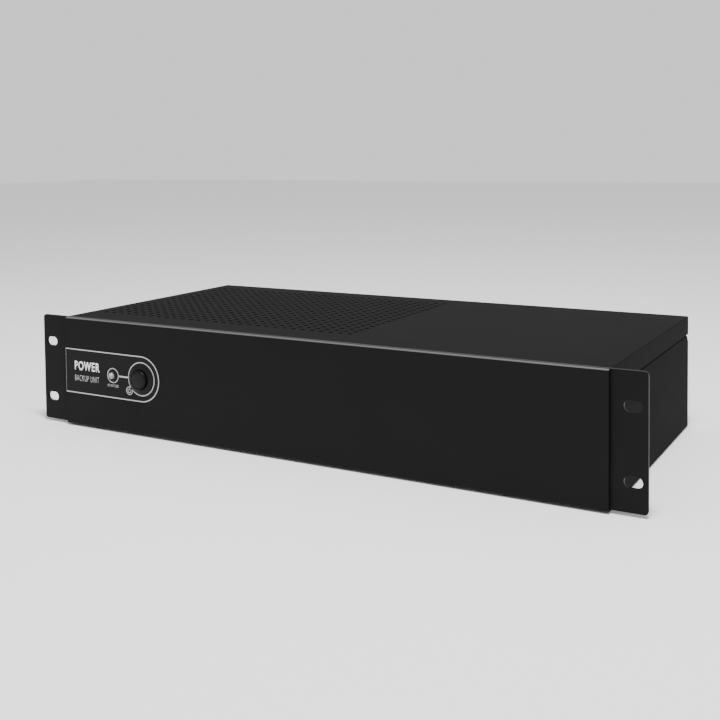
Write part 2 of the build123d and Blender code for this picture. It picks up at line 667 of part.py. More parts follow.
def make_status_lamp():
    """Five-millimetre light-emitting diode: dome, rim against the holder's step, and two leads."""
    dome_y = LABEL_Y - LAMP_PROUD + LAMP_R
    rim_y = LABEL_Y + HOLDER_WALL + RUNNING_FIT
    with BuildPart() as status_lamp:
        with BuildSketch(radial(LAMP_X, SWITCH_Z)):
            with BuildLine():
                Line((0, dome_y - LAMP_R), (0, rim_y + HOLDER_WALL))
                Line((0, rim_y + HOLDER_WALL), (LAMP_RIM_R, rim_y + HOLDER_WALL))
                Line((LAMP_RIM_R, rim_y + HOLDER_WALL), (LAMP_RIM_R, rim_y))
                Line((LAMP_RIM_R, rim_y), (LAMP_R, rim_y))
                Line((LAMP_R, rim_y), (LAMP_R, dome_y))
                CenterArc((0, dome_y), LAMP_R, -90, 90)
            make_face()
        revolve(axis=spin(LAMP_X, SWITCH_Z))
        with BuildSketch(facing(rim_y + HOLDER_WALL)):
            with Locations((LAMP_X, SWITCH_Z)):
                with GridLocations(LAMP_R, 0, 2, 1):
                    Rectangle(LEAD_WIRE, LEAD_WIRE)
        extrude(amount=-3 * STUD_TAIL)
    status_lamp.part.label = "status_lamp"
    export_step(status_lamp.part, "parts/status_lamp.step")


# ---------------------------------------------------------------- batteries

def make_battery(index):
    """Sealed lead-acid block laid on its side, its terminal face to the left, with a rimmed lid."""
    left = battery_left_x(index)
    name = f"battery_{index + 1}"
    with BuildPart() as battery:
        with BuildSketch(Plane.YZ.offset(left)):
            with Locations((BATTERY_Y, BATTERY_Z0 + BATTERY_WIDE / 2)):
                Rectangle(BATTERY_LENGTH, BATTERY_WIDE)
        extrude(amount=BATTERY_TALL)
        fillet(battery.edges().filter_by(Axis.X), BATTERY_RIM)
        with BuildSketch(Plane.YZ.offset(left)):
            with Locations((BATTERY_Y, BATTERY_Z0 + BATTERY_WIDE / 2)):
                Rectangle(BATTERY_LENGTH - 4 * BATTERY_RIM, BATTERY_WIDE - 4 * BATTERY_RIM)
        extrude(amount=BATTERY_RIM / 2, mode=Mode.SUBTRACT)
    battery.part.label = name
    export_step(battery.part, f"parts/{name}.step")


def terminal_places(index):
    """Front and rear terminal centres (Y, Z) of a battery."""
    reach = BATTERY_LENGTH / 2 - TERMINAL_INSET
    return [(BATTERY_Y + side * reach, BATTERY_Z0 + TERMINAL_RISE) for side in (-1, 1)]


def make_battery_terminals():
    """Two tab terminals standing on each battery's left face."""
    with BuildPart() as battery_terminals:
        for index in range(BATTERY_COUNT):
            start = battery_left_x(index) + BATTERY_RIM / 2
            with BuildSketch(Plane.YZ.offset(start)):
                with Locations(*terminal_places(index)):
                    Rectangle(BLADE_THICK, TERMINAL_WIDE)
            extrude(amount=-(TERMINAL_TALL + BATTERY_RIM / 2))
    battery_terminals.part.label = "battery_terminals"
    export_step(battery_terminals.part, "parts/battery_terminals.step")


def make_battery_pads():
    """Foam sheet under each battery."""
    inset = 2 * BATTERY_RIM
    middles = [(battery_left_x(index) + BATTERY_TALL / 2, BATTERY_Y) for index in range(BATTERY_COUNT)]
    with BuildPart() as battery_pads:
        with BuildSketch(Plane.XY.offset(SHEET)):
            with Locations(*middles):
                Rectangle(BATTERY_TALL - 2 * inset, BATTERY_LENGTH - 2 * inset)
        extrude(amount=BATTERY_PAD)
    battery_pads.part.label = "battery_pads"
    export_step(battery_pads.part, "parts/battery_pads.step")


def strap_screw_places(index):
    """Strap screws (X, Y) in front of and behind a battery."""
    x = battery_left_x(index) + BATTERY_TALL / 2
    reach = BATTERY_LENGTH / 2 + STRAP_SHEET + STRAP_FOOT / 2
    return [
        (x + across, BATTERY_Y + side * reach)
        for side in (-1, 1)
        for across in (-STRAP_WIDTH / 4, STRAP_WIDTH / 4)
    ]


def make_battery_strap(index):
    """Steel strap over a battery, with a foot on the floor in front of it and another behind."""
    name = f"battery_{index + 1}_strap"
    half = BATTERY_LENGTH / 2 + STRAP_SHEET
    top = BATTERY_Z0 + BATTERY_WIDE + STRAP_SHEET
    path = [
        (BATTERY_Y - half - STRAP_FOOT, SHEET),
        (BATTERY_Y - half + STRAP_SHEET, SHEET),
        (BATTERY_Y - half + STRAP_SHEET, top - STRAP_SHEET),
        (BATTERY_Y + half - STRAP_SHEET, top - STRAP_SHEET),
        (BATTERY_Y + half - STRAP_SHEET, SHEET),
        (BATTERY_Y + half + STRAP_FOOT, SHEET),
    ]
    middle = battery_left_x(index) + BATTERY_TALL / 2
    with BuildPart() as strap:
        with BuildSketch(Plane.YZ.offset(middle)):
            with BuildLine():
                Polyline(*path)
                offset(amount=STRAP_SHEET, side=Side.LEFT, kind=Kind.INTERSECTION)
            make_face()
        extrude(amount=STRAP_WIDTH / 2, both=True)
        with BuildSketch(Plane.XY.offset(SHEET)):
            with Locations(*strap_screw_places(index)):
                Circle(SCREW_R)
        extrude(amount=STRAP_SHEET, mode=Mode.SUBTRACT)
    strap.part.label = name
    export_step(strap.part, f"parts/{name}.step")


def make_floor_screws():
    """Pan-head screws down through the straps' and the clamp's feet into the floor."""
    straps = [place for index in range(BATTERY_COUNT) for place in strap_screw_places(index)]
    with BuildPart() as floor_screws:
        for points, foot in ((straps, STRAP_SHEET), (clamp_screw_places(), CLAMP_SHEET)):
            with BuildSketch(Plane.XY.offset(SHEET + foot)):
                with Locations(*points):
                    Circle(SCREW_HEAD_R)
            extrude(amount=SCREW_HEAD)
            with BuildSketch(Plane.XY.offset(SHEET)):
                with Locations(*points):
                    Circle(SCREW_R)
            extrude(amount=foot)
        fillet(floor_screws.faces().group_by(Axis.Z)[-1].edges(), SCREW_HEAD / 3)
    floor_screws.part.label = "floor_screws"
    export_step(floor_screws.part, "parts/floor_screws.step")


def make_lead(name, points):
    """Insulated lead along straight runs joined by tangent arcs."""
    with BuildPart() as lead:
        with BuildLine() as route:
            FilletPolyline(*points, radius=LEAD_BEND)
        with BuildSketch(Plane(origin=route.line @ 0, z_dir=route.line % 0)):
            Circle(LEAD_R)
        sweep()
    lead.part.label = name
    export_step(lead.part, f"parts/{name}.step")


def make_battery_leads():
    """Link between the two batteries in front, and the pair of leads from their rear tabs to the board."""
    near, far = [battery_left_x(index) - TERMINAL_TALL / 2 for index in (1, 0)]
    (front_y, z), (rear_y, _) = terminal_places(0)
    ahead = BATTERY_Y - BATTERY_LENGTH / 2 - STRAP_SHEET - 3 * LEAD_R
    behind = BATTERY_Y + BATTERY_LENGTH / 2 + STRAP_SHEET + 3 * LEAD_R
    tab = BLADE_THICK / 2
    make_lead(
        "battery_link",
        [(near, front_y - tab, z), (near, ahead, z), (far, ahead, z), (far, front_y - tab, z)],
    )
    plug_x, plug_z = CONNECTOR_X, BOARD_TOP + CONNECTOR_HEIGHT
    make_lead(
        "positive_lead",
        [
            (near, rear_y - tab, z),
            (near, CONNECTOR_YS[0], z),
            (plug_x, CONNECTOR_YS[0], z),
            (plug_x, CONNECTOR_YS[0], plug_z),
        ],
    )
    make_lead(
        "negative_lead",
        [
            (far, rear_y + tab, z),
            (far, behind, z),
            (plug_x, behind, z),
            (plug_x, CONNECTOR_YS[1], z),
            (plug_x, CONNECTOR_YS[1], plug_z),
        ],
    )


# ---------------------------------------------------------------- transformer

def make_transformer_core():
    """Stack of E and I laminations with two windows for the coil."""
    window_x = CORE_LIMB + (CORE_WIDTH - 4 * CORE_LIMB) / 4
    window_width = (CORE_WIDTH - 4 * CORE_LIMB) / 2
    with BuildPart() as transformer_core:
        with BuildSketch(facing(TRANSFORMER_Y)):
            with Locations((CORE_X, SHEET + CORE_HEIGHT / 2)):
                Rectangle(CORE_WIDTH, CORE_HEIGHT)
                with GridLocations(2 * window_x, 0, 2, 1):
                    Rectangle(window_width, CORE_HEIGHT - 2 * CORE_LIMB, mode=Mode.SUBTRACT)
        extrude(amount=CORE_STACK / 2, both=True)
    transformer_core.part.label = "transformer_core"
    export_step(transformer_core.part, "parts/transformer_core.step")


def make_transformer_winding():
    """Coil round the middle limb, filling both windows and standing out of the stack at each end."""
    window_width = (CORE_WIDTH - 4 * CORE_LIMB) / 2
    half_x = CORE_LIMB + window_width - COIL_GAP
    with BuildPart() as transformer_winding:
        with BuildSketch(Plane.XY.offset(SHEET + CORE_LIMB + COIL_GAP)):
            with Locations((CORE_X, TRANSFORMER_Y)):
                RectangleRounded(2 * half_x, CORE_STACK + 2 * COIL_OVERHANG, COIL_OVERHANG / 3)
                Rectangle(2 * CORE_LIMB, CORE_STACK, mode=Mode.SUBTRACT)
        extrude(amount=CORE_HEIGHT - 2 * CORE_LIMB - 2 * COIL_GAP)
    transformer_winding.part.label = "transformer_winding"
    export_step(transformer_winding.part, "parts/transformer_winding.step")


def clamp_screw_places():
    """Transformer clamp's four screws (X, Y)."""
    reach = CORE_WIDTH / 2 + CLAMP_SHEET + CLAMP_FOOT / 2
    return [
        (CORE_X + side * reach, TRANSFORMER_Y + along)
        for side in (-1, 1)
        for along in (-CLAMP_WIDTH / 4, CLAMP_WIDTH / 4)
    ]


def make_transformer_clamp():
    """Steel band over the core, with a foot at each side."""
    half = CORE_WIDTH / 2
    path = [
        (CORE_X - half - CLAMP_SHEET - CLAMP_FOOT, SHEET),
        (CORE_X - half, SHEET),
        (CORE_X - half, SHEET + CORE_HEIGHT),
        (CORE_X + half, SHEET + CORE_HEIGHT),
        (CORE_X + half, SHEET),
        (CORE_X + half + CLAMP_SHEET + CLAMP_FOOT, SHEET),
    ]
    with BuildPart() as transformer_clamp:
        with BuildSketch(facing(TRANSFORMER_Y)):
            with BuildLine():
                Polyline(*path)
                offset(amount=CLAMP_SHEET, side=Side.LEFT, kind=Kind.INTERSECTION)
            make_face()
        extrude(amount=CLAMP_WIDTH / 2, both=True)
        with BuildSketch(Plane.XY.offset(SHEET)):
            with Locations(*clamp_screw_places()):
                Circle(SCREW_R)
        extrude(amount=CLAMP_SHEET, mode=Mode.SUBTRACT)
    transformer_clamp.part.label = "transformer_clamp"
    export_step(transformer_clamp.part, "parts/transformer_clamp.step")


# ---------------------------------------------------------------- main board

def on_board(across, along):
    """Place on the main board, measured from its front left corner."""
    return (BOARD_X0 + across, BOARD_Y0 + along)


def board_holes():
    """Fixing holes at the main board's corners."""
    return [
        on_board(across, along)
        for across in (BOARD_MARGIN, BOARD_WIDTH - BOARD_MARGIN)
        for along in (BOARD_MARGIN, BOARD_LENGTH - BOARD_MARGIN)
    ]


def comms_holes():
    """Fixing holes near the front corners of the small rear board."""
    y = PANEL_IN_Y - COMMS_LENGTH + BOARD_MARGIN
    return [(COMMS_X - side * (COMMS_WIDTH / 2 - BOARD_MARGIN), y) for side in (1, -1)]


def make_main_board():
    """Glass-fibre circuit board."""
    with BuildPart() as main_board:
        with BuildSketch(Plane.XY.offset(BOARD_TOP - BOARD_THICK)):
            with Locations(on_board(BOARD_WIDTH / 2, BOARD_LENGTH / 2)):
                Rectangle(BOARD_WIDTH, BOARD_LENGTH)
            with Locations(*board_holes()):
                Circle(SCREW_R, mode=Mode.SUBTRACT)
        extrude(amount=BOARD_THICK)
    main_board.part.label = "main_board"
    export_step(main_board.part, "parts/main_board.step")


def make_comms_board():
    """Small board behind the data jack and the USB port."""
    with BuildPart() as comms_board:
        with BuildSketch(Plane.XY.offset(COMMS_Z)):
            with Locations((COMMS_X, PANEL_IN_Y - COMMS_LENGTH)):
                Rectangle(COMMS_WIDTH, COMMS_LENGTH - HOLE_FIT, align=(Align.CENTER, Align.MIN))
            with Locations(*comms_holes()):
                Circle(SCREW_R, mode=Mode.SUBTRACT)
        extrude(amount=BOARD_THICK)
    comms_board.part.label = "comms_board"
    export_step(comms_board.part, "parts/comms_board.step")


def make_board_standoffs():
    """Hexagon pillars on the floor, under the corners of both boards."""
    with BuildPart() as board_standoffs:
        for points, height in ((board_holes(), BOARD_RISE), (comms_holes(), COMMS_RISE)):
            with BuildSketch(Plane.XY.offset(SHEET)):
                with Locations(*points):
                    RegularPolygon(STANDOFF_R, 6)
            extrude(amount=height)
    board_standoffs.part.label = "board_standoffs"
    export_step(board_standoffs.part, "parts/board_standoffs.step")


def make_board_screws():
    """Screws through both boards into their pillars."""
    with BuildPart() as board_screws:
        for points, top in ((board_holes(), BOARD_TOP), (comms_holes(), COMMS_Z + BOARD_THICK)):
            with BuildSketch(Plane.XY.offset(top)):
                with Locations(*points):
                    Circle(SCREW_HEAD_R)
            extrude(amount=SCREW_HEAD)
            with BuildSketch(Plane.XY.offset(top)):
                with Locations(*points):
                    Circle(SCREW_R)
            extrude(amount=-BOARD_THICK)
    board_screws.part.label = "board_screws"
    export_step(board_screws.part, "parts/board_screws.step")


def make_heatsink(name, flat_x, side):
    """Finned extrusion: flat face at flat_x, fins pointing to the side given."""
    with BuildPart() as heatsink:
        with BuildSketch(facing(SINK_Y)):
            with Locations((flat_x + side * SINK_BASE / 2, BOARD_TOP)):
                Rectangle(SINK_BASE, SINK_HEIGHT, align=(Align.CENTER, Align.MIN))
            pitch = (SINK_HEIGHT - SINK_FIN_THICK) / (SINK_FINS - 1)
            for fin in range(SINK_FINS):
                with Locations((flat_x + side * (SINK_BASE + SINK_FIN) / 2, BOARD_TOP + fin * pitch)):
                    Rectangle(SINK_BASE + SINK_FIN, SINK_FIN_THICK, align=(Align.CENTER, Align.MIN))
        extrude(amount=SINK_LENGTH / 2, both=True)
    heatsink.part.label = name
    export_step(heatsink.part, f"parts/{name}.step")


def make_power_transistors():
    """Four flat packages against each heatsink, standing on the board."""
    offset_x = SINK_SPACE / 2 - TRANSISTOR_THICK / 2
    with BuildPart() as power_transistors:
        with BuildSketch(Plane.XY.offset(BOARD_TOP + LEG_HEIGHT)):
            with Locations((SINK_X, SINK_Y)):
                with GridLocations(2 * offset_x, SINK_LENGTH / 4, 2, 4):
                    Rectangle(TRANSISTOR_THICK, TRANSISTOR_WIDE)
        extrude(amount=TRANSISTOR_TALL)
        with BuildSketch(Plane.XY.offset(BOARD_TOP)):
            with Locations((SINK_X, SINK_Y)):
                with GridLocations(2 * offset_x, SINK_LENGTH / 4, 2, 4):
                    with GridLocations(0, TRANSISTOR_WIDE / 3, 1, 3):
                        Rectangle(BLADE_THICK, BLADE_THICK)
        extrude(amount=LEG_HEIGHT)
    power_transistors.part.label = "power_transistors"
    export_step(power_transistors.part, "parts/power_transistors.step")


def make_capacitors():
    """Electrolytic cans, standing on the board with softened tops."""
    with BuildPart() as capacitors:
        with BuildSketch(Plane.XY.offset(BOARD_TOP)):
            with Locations(*[on_board(across, along) for across, along in CAPACITOR_SPOTS]):
                Circle(CAPACITOR_R)
        extrude(amount=CAPACITOR_TALL)
        fillet(capacitors.faces().group_by(Axis.Z)[-1].edges(), SHEET)
    capacitors.part.label = "capacitors"
    export_step(capacitors.part, "parts/capacitors.step")


def make_board_blocks(name, spots, size):
    """Plain box-shaped components of one size, standing on the board."""
    width, length, height = size
    with BuildPart() as blocks:
        with BuildSketch(Plane.XY.offset(BOARD_TOP)):
            with Locations(*[on_board(across, along) for across, along in spots]):
                Rectangle(width, length)
        extrude(amount=height)
        fillet(blocks.edges().filter_by(Axis.Z), min(size) / 8)
    blocks.part.label = name
    export_step(blocks.part, f"parts/{name}.step")


def make_choke():
    """Wound ring lying on the board."""
    with BuildPart() as choke:
        with BuildSketch(Plane.XY.offset(BOARD_TOP)):
            with Locations(on_board(*CHOKE_SPOT)):
                Circle(CHOKE_R)
                Circle(CHOKE_HOLE_R, mode=Mode.SUBTRACT)
        extrude(amount=CHOKE_TALL)
        fillet(choke.edges().filter_by(GeomType.CIRCLE), CHOKE_TALL / 4)
    choke.part.label = "choke"
    export_step(choke.part, "parts/choke.step")


def make_buzzer():
    """Round sounder with a hole in its top."""
    with BuildPart() as buzzer:
        with BuildSketch(Plane.XY.offset(BOARD_TOP)):
            with Locations(on_board(*BUZZER_SPOT)):
                Circle(BUZZER_R)
        extrude(amount=BUZZER_TALL)
        with BuildSketch(Plane.XY.offset(BOARD_TOP + BUZZER_TALL)):
            with Locations(on_board(*BUZZER_SPOT)):
                Circle(SHEET)
        extrude(amount=-BUZZER_TALL / 3, mode=Mode.SUBTRACT)
    buzzer.part.label = "buzzer"
    export_step(buzzer.part, "parts/buzzer.step")


# ---------------------------------------------------------------- rear services

def socket_rim():
    """Rounded rim of a mains socket, drawn into the sketch being made."""
    RectangleRounded(SOCKET_WIDTH + 2 * SOCKET_RIM, SOCKET_HEIGHT + 2 * SOCKET_RIM, SOCKET_RIM / 2)


def recess_outline(x):
    """Mains connector outline: a rectangle with its two upper corners cut off."""
    half_x = RECESS_WIDTH / 2
    half_z = RECESS_HEIGHT / 2
    Polyline(
        (x - half_x, SOCKET_Z - half_z),
        (x + half_x, SOCKET_Z - half_z),
        (x + half_x, SOCKET_Z + half_z - RECESS_CHAMFER),
        (x + half_x - RECESS_CHAMFER, SOCKET_Z + half_z),
        (x - half_x + RECESS_CHAMFER, SOCKET_Z + half_z),
        (x - half_x, SOCKET_Z + half_z - RECESS_CHAMFER),
        close=True,
    )


def pin_places(x):
    """Live, neutral and earth contact centres (X, Z) of a mains socket."""
    return [
        (x - PIN_PITCH / 2, SOCKET_Z - PIN_DROP),
        (x + PIN_PITCH / 2, SOCKET_Z - PIN_DROP),
        (x, SOCKET_Z + PIN_DROP),
    ]


def make_outlet(index):
    """Shrouded mains outlet: a groove round an island with three contact slots."""
    name = f"outlet_{index + 1}"
    x = OUTLETS[index]
    with BuildPart() as outlet:
        with BuildSketch(facing(REAR_Y + SOCKET_RIM_THICK)):
            with Locations((x, SOCKET_Z)):
                socket_rim()
        extrude(amount=SOCKET_RIM_THICK)
        with BuildSketch(facing(REAR_Y)):
            with Locations((x, SOCKET_Z)):
                Rectangle(SOCKET_WIDTH, SOCKET_HEIGHT)
        extrude(amount=SOCKET_DEPTH)
        with BuildSketch(facing(REAR_Y + SOCKET_RIM_THICK)):
            with BuildLine():
                recess_outline(x)
            make_face()
            with BuildLine():
                recess_outline(x)
                offset(amount=-OUTLET_CORE_GAP, kind=Kind.INTERSECTION, mode=Mode.REPLACE)
            make_face(mode=Mode.SUBTRACT)
            with Locations(*pin_places(x)):
                Rectangle(PIN_THICK, PIN_WIDE)
        extrude(amount=RECESS_DEPTH, mode=Mode.SUBTRACT)
    outlet.part.label = name
    export_step(outlet.part, f"parts/{name}.step")


def make_inlet_socket():
    """Panel-mounted mains inlet: open recess, and an ear with a screw hole at each side."""
    with BuildPart() as inlet_socket:
        with BuildSketch(facing(REAR_Y)):
            with Locations((INLET_X, SOCKET_Z)):
                Rectangle(SOCKET_WIDTH, SOCKET_HEIGHT)
        extrude(amount=SOCKET_DEPTH)
        with BuildSketch(facing(REAR_Y + SOCKET_RIM_THICK)):
            with Locations((INLET_X, SOCKET_Z)):
                socket_rim()
                RectangleRounded(SOCKET_WIDTH + 2 * INLET_EAR, SOCKET_HEIGHT / 2, SOCKET_RIM)
            with Locations(*[(x, SOCKET_Z) for x in INLET_SCREWS]):
                Circle(SCREW_R, mode=Mode.SUBTRACT)
        extrude(amount=SOCKET_RIM_THICK)
        with BuildSketch(facing(REAR_Y + SOCKET_RIM_THICK)):
            with BuildLine():
                recess_outline(INLET_X)
            make_face()
        extrude(amount=RECESS_DEPTH, mode=Mode.SUBTRACT)
        with BuildSketch(facing(REAR_Y)):
            with Locations(*pin_places(INLET_X)):
                Rectangle(PIN_THICK, PIN_WIDE)
        extrude(amount=SOCKET_DEPTH, mode=Mode.SUBTRACT)
    inlet_socket.part.label = "inlet_socket"
    export_step(inlet_socket.part, "parts/inlet_socket.step")


def make_inlet_pins():
    """Three flat pins through the inlet's floor."""
    back_y = REAR_Y - SOCKET_DEPTH
    front_of_pins = REAR_Y + SOCKET_RIM_THICK - RECESS_DEPTH + PIN_LENGTH
    with BuildPart() as inlet_pins:
        with BuildSketch(facing(front_of_pins)):
            with Locations(*pin_places(INLET_X)):
                Rectangle(PIN_THICK, PIN_WIDE)
        extrude(amount=front_of_pins - back_y + BLADE_LENGTH / 2)
    inlet_pins.part.label = "inlet_pins"
    export_step(inlet_pins.part, "parts/inlet_pins.step")


def make_breaker_body():
    """Overload cut-out: block behind the panel, threaded bush through it, stepped bore for the button."""
    nose_y = REAR_Y + BREAKER_NOSE
    with BuildPart() as breaker_body:
        with BuildSketch(facing(PANEL_IN_Y)):
            with Locations((BREAKER_X, SOCKET_Z)):
                Rectangle(BREAKER_BODY, BREAKER_TALL)
        extrude(amount=BREAKER_DEPTH)
        with BuildSketch(facing(nose_y)):
            with Locations((BREAKER_X, SOCKET_Z)):
                Circle(BREAKER_BUSH_R)
        extrude(amount=nose_y - PANEL_IN_Y)
        with BuildSketch(facing(nose_y)):
            with Locations((BREAKER_X, SOCKET_Z)):
                Circle(BREAKER_BUTTON_R + RUNNING_FIT)
        extrude(amount=BREAKER_DEPTH - BREAKER_TRAVEL, mode=Mode.SUBTRACT)
        with BuildSketch(facing(PANEL_IN_Y - SHEET)):
            with Locations((BREAKER_X, SOCKET_Z)):
                Circle(BREAKER_BUTTON_R + SHEET)
        extrude(amount=BREAKER_CHAMBER, mode=Mode.SUBTRACT)
    breaker_body.part.label = "breaker_body"
    export_step(breaker_body.part, "parts/breaker_body.step")


def make_breaker_button():
    """Reset button; its collar stops against the chamber's outer wall when it pops out."""
    nose_y = REAR_Y + BREAKER_NOSE
    collar_y = PANEL_IN_Y - SHEET - BREAKER_TRAVEL - COLLAR_GAP
    inner_y = PANEL_IN_Y - SHEET - BREAKER_CHAMBER
    tip_y = nose_y + BREAKER_PROUD - BREAKER_TRAVEL
    with BuildPart() as breaker_button:
        with BuildSketch(radial(BREAKER_X, SOCKET_Z)):
            with BuildLine():
                Polyline(
                    (0, inner_y),
                    (BREAKER_BUTTON_R, inner_y),
                    (BREAKER_BUTTON_R, collar_y - COLLAR),
                    (BREAKER_BUTTON_R + SHEET / 2, collar_y - COLLAR),
                    (BREAKER_BUTTON_R + SHEET / 2, collar_y),
                    (BREAKER_BUTTON_R, collar_y),
                    (BREAKER_BUTTON_R, tip_y),
                    (0, tip_y),
                    close=True,
                )
            make_face()
        revolve(axis=spin(BREAKER_X, SOCKET_Z))
        rim = breaker_button.edges().filter_by(GeomType.CIRCLE).sort_by(Axis.Y)[-1]
        fillet(rim, BREAKER_BUTTON_R / 4)
    breaker_button.part.label = "breaker_button"
    export_step(breaker_button.part, "parts/breaker_button.step")


def make_breaker_nut():
    """Thin hexagon nut outside the rear panel."""
    with BuildPart() as breaker_nut:
        with BuildSketch(facing(REAR_Y)):
            with Locations((BREAKER_X, SOCKET_Z)):
                RegularPolygon(BREAKER_BUSH_R + NUT_THICK, 6)
                Circle(BREAKER_BUSH_R, mode=Mode.SUBTRACT)
        extrude(amount=-NUT_THICK)
    breaker_nut.part.label = "breaker_nut"
    export_step(breaker_nut.part, "parts/breaker_nut.step")


def make_data_jack():
    """Twin eight-way jack: two recesses, each with a smaller notch below for the plug's latch."""
    middle_x = COMMS_X - JACK_WIDTH / 2
    base = COMMS_Z + BOARD_THICK
    with BuildPart() as data_jack:
        with BuildSketch(facing(REAR_Y)):
            with Locations((middle_x, base)):
                Rectangle(JACK_WIDTH, JACK_HEIGHT, align=(Align.CENTER, Align.MIN))
        extrude(amount=PORT_DEPTH)
        with BuildSketch(facing(REAR_Y)):
            with Locations((middle_x, base + JACK_HEIGHT / 2 + SHEET)):
                with GridLocations(JACK_PITCH, 0, 2, 1):
                    Rectangle(JACK_HOLE_WIDTH, JACK_HOLE_HEIGHT)
                    with Locations((0, -JACK_HOLE_HEIGHT / 2)):
                        Rectangle(JACK_HOLE_WIDTH / 2, 2 * SHEET)
        extrude(amount=JACK_HOLE_DEPTH, mode=Mode.SUBTRACT)
    data_jack.part.label = "data_jack"
    export_step(data_jack.part, "parts/data_jack.step")


def make_usb_port():
    """Square device port: a shell round a tongue."""
    base = COMMS_Z + BOARD_THICK
    with BuildPart() as usb_port:
        with BuildSketch(facing(REAR_Y)):
            with Locations((USB_X, base)):
                Rectangle(USB_WIDTH, USB_HEIGHT, align=(Align.CENTER, Align.MIN))
        extrude(amount=PORT_DEPTH)
        with BuildSketch(facing(REAR_Y)):
            with Locations((USB_X, base + USB_HEIGHT / 2)):
                Rectangle(USB_HOLE_WIDTH, USB_HOLE_HEIGHT)
                Rectangle(USB_HOLE_WIDTH - USB_TONGUE, USB_TONGUE, mode=Mode.SUBTRACT)
        extrude(amount=JACK_HOLE_DEPTH, mode=Mode.SUBTRACT)
    usb_port.part.label = "usb_port"
    export_step(usb_port.part, "parts/usb_port.step")


def make_earth_stud():
    """Earthing stud with a washer and a nut outside the rear panel."""
    with BuildPart() as earth_stud:
        with BuildSketch(facing(PANEL_IN_Y)):
            with Locations((EARTH_X, EARTH_Z)):
                Circle(2 * EARTH_R)
        extrude(amount=SHEET)
        with BuildSketch(facing(PANEL_IN_Y)):
            with Locations((EARTH_X, EARTH_Z)):
                Circle(EARTH_R)
        extrude(amount=-(SHEET + EARTH_TAIL))
        with BuildSketch(facing(REAR_Y)):
            with Locations((EARTH_X, EARTH_Z)):
                Circle(EARTH_WASHER_R)
        extrude(amount=-SHEET / 2)
        with BuildSketch(facing(REAR_Y)):
            with Locations((EARTH_X, EARTH_Z)):
                RegularPolygon(2 * EARTH_R, 6)
        extrude(amount=-(SHEET / 2 + NUT_THICK))
    earth_stud.part.label = "earth_stud"
    export_step(earth_stud.part, "parts/earth_stud.step")


# ---------------------------------------------------------------- exhaust fan

def make_fan_frame():
    """Square housing with a round duct, and a stator disc on struts with the rotor's spindle."""
    with BuildPart() as fan_frame:
        with BuildSketch(facing(PANEL_IN_Y)):
            with Locations((FAN_X, FAN_Z)):
                RectangleRounded(FAN_SIZE, FAN_SIZE, 2 * SCREW_R)
                Circle(FAN_BORE_R, mode=Mode.SUBTRACT)
                with GridLocations(FAN_HOLE_PITCH, FAN_HOLE_PITCH, 2, 2):
                    Circle(SCREW_R, mode=Mode.SUBTRACT)
        extrude(amount=FAN_DEPTH)
        with BuildSketch(facing(PANEL_IN_Y)):
            with Locations((FAN_X, FAN_Z)):
                Circle(FAN_HUB_R)
                for turn in (45, 135):
                    Rectangle(2 * FAN_BORE_R + SHEET, FAN_STATOR, rotation=turn)
        extrude(amount=FAN_STATOR)
        with BuildSketch(facing(PANEL_IN_Y)):
            with Locations((FAN_X, FAN_Z)):
                Circle(FAN_SPINDLE_R)
        extrude(amount=FAN_DEPTH - FAN_STATOR)
    fan_frame.part.label = "fan_frame"
    export_step(fan_frame.part, "parts/fan_frame.step")


def make_fan_rotor():
    """Hub that runs on the spindle, with pitched blades trimmed to the duct."""
    back_y = PANEL_IN_Y - FAN_STATOR - COLLAR_GAP
    front_y = PANEL_IN_Y - FAN_DEPTH + SHEET
    tip_r = FAN_BORE_R - FAN_TIP_GAP
    middle_y = (back_y + front_y) / 2
    with BuildPart() as fan_rotor:
        for blade in range(FAN_BLADES):
            angle = radians(360 * blade / FAN_BLADES)
            outward = (cos(angle), 0, sin(angle))
            root = (FAN_X + outward[0], middle_y, FAN_Z + outward[2])
            with BuildSketch(Plane(origin=root, x_dir=(0, 1, 0), z_dir=outward)):
                Rectangle(FAN_BLADE_CHORD, FAN_BLADE_THICK, rotation=FAN_BLADE_ANGLE)
            extrude(amount=FAN_BORE_R)
        with BuildSketch(facing(back_y)):
            with Locations((FAN_X, FAN_Z)):
                Circle(tip_r)
        extrude(amount=back_y - front_y, mode=Mode.INTERSECT)
        with BuildSketch(facing(back_y)):
            with Locations((FAN_X, FAN_Z)):
                Circle(FAN_HUB_R)
        extrude(amount=back_y - front_y)
        with BuildSketch(facing(back_y)):
            with Locations((FAN_X, FAN_Z)):
                Circle(FAN_SPINDLE_R + RUNNING_FIT)
        extrude(amount=back_y - front_y - SHEET, mode=Mode.SUBTRACT)
    fan_rotor.part.label = "fan_rotor"
    export_step(fan_rotor.part, "parts/fan_rotor.step")


def make_fan_guard():
    """Ringed finger guard outside the rear panel, with an eye at each screw."""
    with BuildPart() as fan_guard:
        with BuildSketch(facing(REAR_Y)):
            with Locations((FAN_X, FAN_Z)):
                for ring in range(GUARD_RINGS, 0, -1):
                    radius = ring * FAN_BORE_R / GUARD_RINGS
                    Circle(radius + GUARD_WIRE / 2)
                    Circle(radius - GUARD_WIRE / 2, mode=Mode.SUBTRACT)
                for turn in (45, 135):
                    Rectangle(FAN_HOLE_PITCH * 2**0.5, GUARD_WIRE, rotation=turn)
                with GridLocations(FAN_HOLE_PITCH, FAN_HOLE_PITCH, 2, 2):
                    Circle(SCREW_HEAD_R)
                    Circle(SCREW_R, mode=Mode.SUBTRACT)
        extrude(amount=-GUARD_WIRE)
    fan_guard.part.label = "fan_guard"
    export_step(fan_guard.part, "parts/fan_guard.step")


def fan_screw_places():
    """Fan screws (X, Z)."""
    reach = FAN_HOLE_PITCH / 2
    return [(FAN_X + dx, FAN_Z + dz) for dx in (-reach, reach) for dz in (-reach, reach)]


